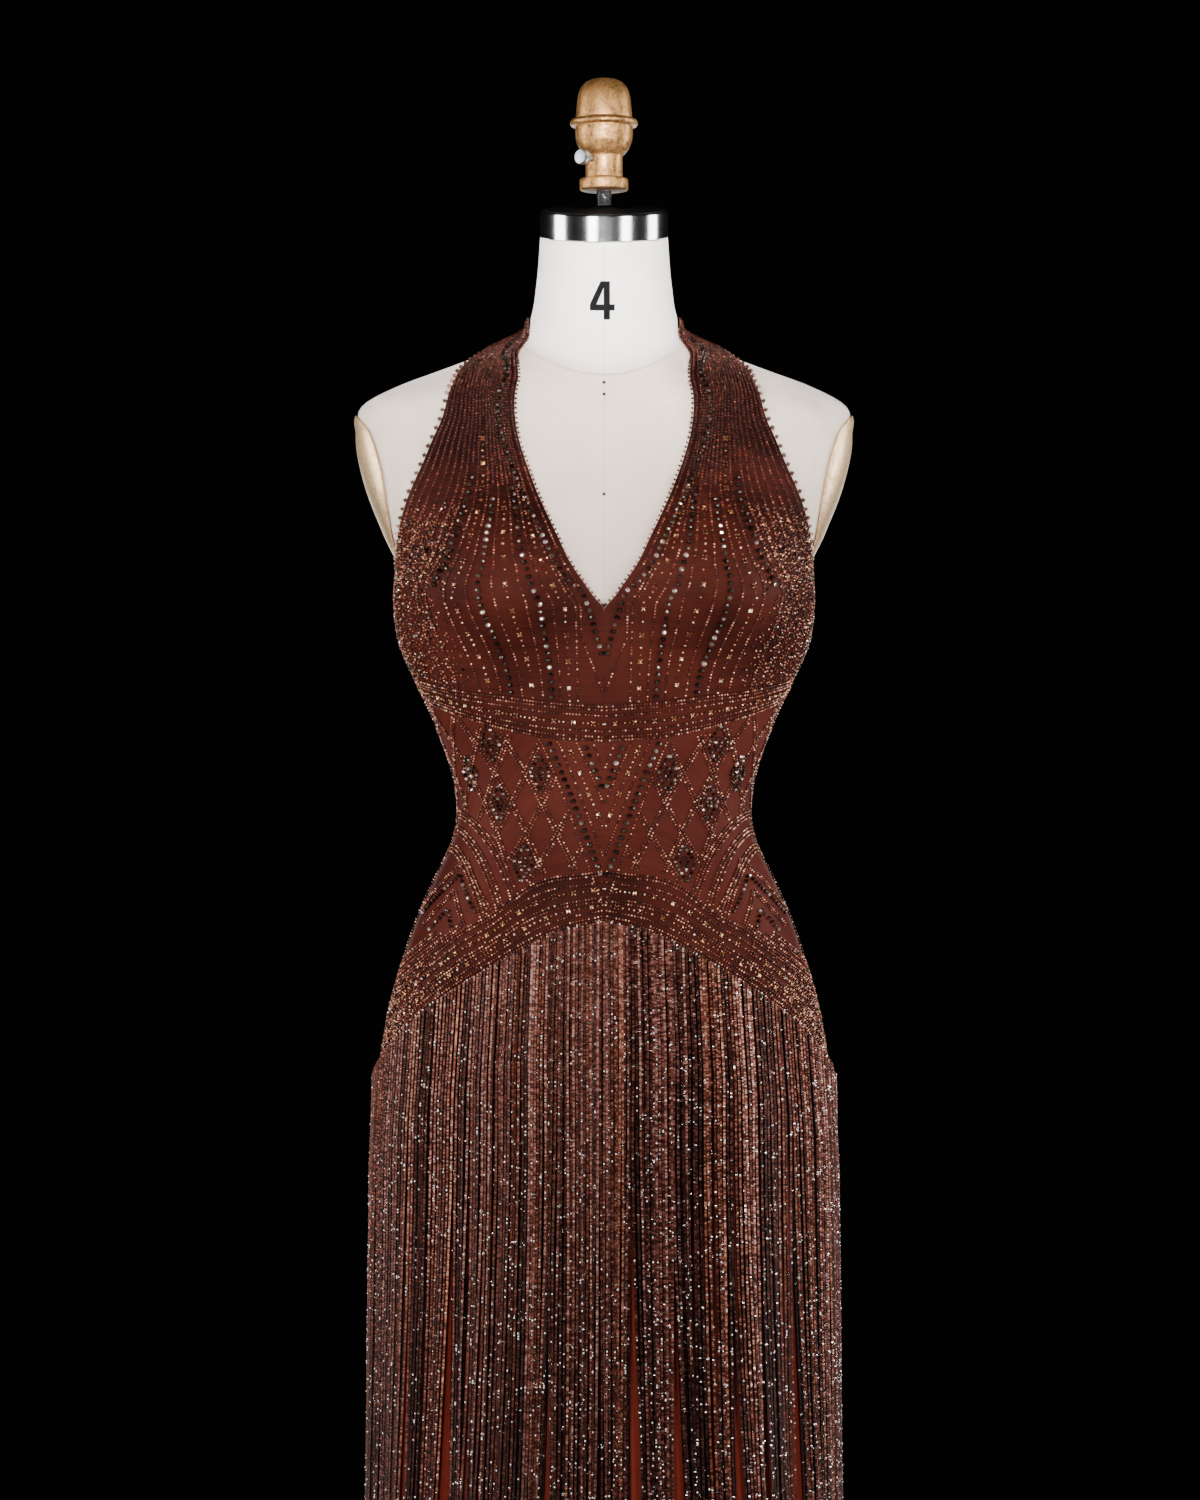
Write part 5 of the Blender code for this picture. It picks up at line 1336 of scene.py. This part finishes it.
gold_metal = handled_finish("polished_gold", (0.78, 0.54, 0.27), 1.0, 180.0, 0.18, 0.14, 3.0)
face = surface(garment_radius, 180.0, top - ZIP_SLIDER_DROP, CAD_WALL_OUT)
slider_low, slider_top = face[1] + ZIP_SLIDER_CLEAR, face[2]
wide, thick, tall = ZIP_SLIDER_SIZE
right_edge = np.array([(0.0008, 0.0), (wide / 2 - 0.0008, 0.0), (wide / 2, -0.0012),
                       (wide / 2 - 0.0010, -tall + 0.0010), (wide / 2 - 0.0018, -tall)])
slider_edge = np.concatenate([[(0.0, -0.0006)], right_edge, right_edge[::-1] * (-1, 1)]) + (0.0, slider_top)
slider = prism("zip_slider_gold", slider_edge, slider_low, slider_low + thick, 0.0004, gold_metal)
settle(slider, ROOT, "gilt", "zip_slider")
pull_low, hinge = slider_low + thick + ZIP_PULL_CLEAR, slider_top - HINGE_DROP
turn = np.linspace(0, math.pi, 15)
tab_foot = ZIP_PULL_HALF * np.stack([np.cos(turn), -np.sin(turn)], -1) + (0, -ZIP_PULL_LONG + ZIP_PULL_HALF)
tab_side = np.array([(0.0014, 0.0007), (0.0017, -0.003), (0.0028, -0.010)])
pull_edge = np.concatenate([tab_side, tab_foot, tab_side[::-1] * (-1, 1)]) + (0.0, hinge)
pull = prism("zip_pull_gold", pull_edge, pull_low, pull_low + ZIP_PULL_THICK, 0.0003, gold_metal)
settle(pull, "zip_pull_tab", "gilt", "zip_pull")

middle = sum(NECK_BAND_LEVELS) / 2
spot, out = surface(form_radius, BUTTON_ANGLE, middle, STRAP_SEAT + CLOTH_WALL, with_normal=True)
BUTTON_PROFILE = ((0.0052, 0.0), (0.0060, 0.0004), (0.0065, 0.0011), (0.0064, 0.0018), (0.0059, 0.0026),
                  (0.0050, 0.0033), (0.0036, 0.0039), (0.0020, 0.0043), (0.0008, 0.0045))
button = add_turned("covered_button", BUTTON_PROFILE, spot + out * BUTTON_SEAT, out, body_satin, 48)
settle(button, ROOT, "satin", "neck_button")

# The stand
# A round cast base and socket in black enamel, a bright steel pole, and a flange under the body.
BASE_PROFILE = ((0.1860, 0.0000), (0.1885, 0.0008), (0.1900, 0.0024), (0.1900, 0.0100), (0.1893, 0.0119),
                (0.1875, 0.0133), (0.1850, 0.0140), (0.0600, 0.0140))
SOCKET_PROFILE = ((0.0340, 0.0143), (0.0340, 0.0210), (0.0332, 0.0222), (0.0300, 0.0240), (0.0274, 0.0266),
                  (0.0260, 0.0300), (0.0260, 0.0495), (0.0254, 0.0515), (0.0235, 0.0530))
POLE_PROFILE = ((0.0160, 0.0533), (0.0160, 0.7697))
FLANGE_PROFILE = ((0.0220, 0.7700), (0.0220, 0.7890), (0.0228, 0.7902), (0.0590, 0.7936), (0.0600, 0.7945),
                  (0.0600, 0.7997))
enamel, enamel_shader, place, _ = finish("black_enamel", (0.022, 0.022, 0.024), 0.4, Coat_Weight=0.3)
feed(enamel_shader, Roughness=place.noise(35.0, 4.0) * 0.25 + 0.28,
     Normal=place.noise(260.0).bump(0.0002, 0.3))
for name, profile, material, slot, node in (
    ("cast_base", BASE_PROFILE, enamel, "iron", "base"),
    ("pole_socket_enamel", SOCKET_PROFILE, enamel, "iron", "pole_socket"),
    ("steel_pole", POLE_PROFILE, steel, "steel", "pole"),
    ("body_flange", FLANGE_PROFILE, enamel, "iron", "form_flange"),
):
    settle(add_turned(name, profile, (0, 0, 0), (0, 0, 1), material, 96), ROOT, slot, node)
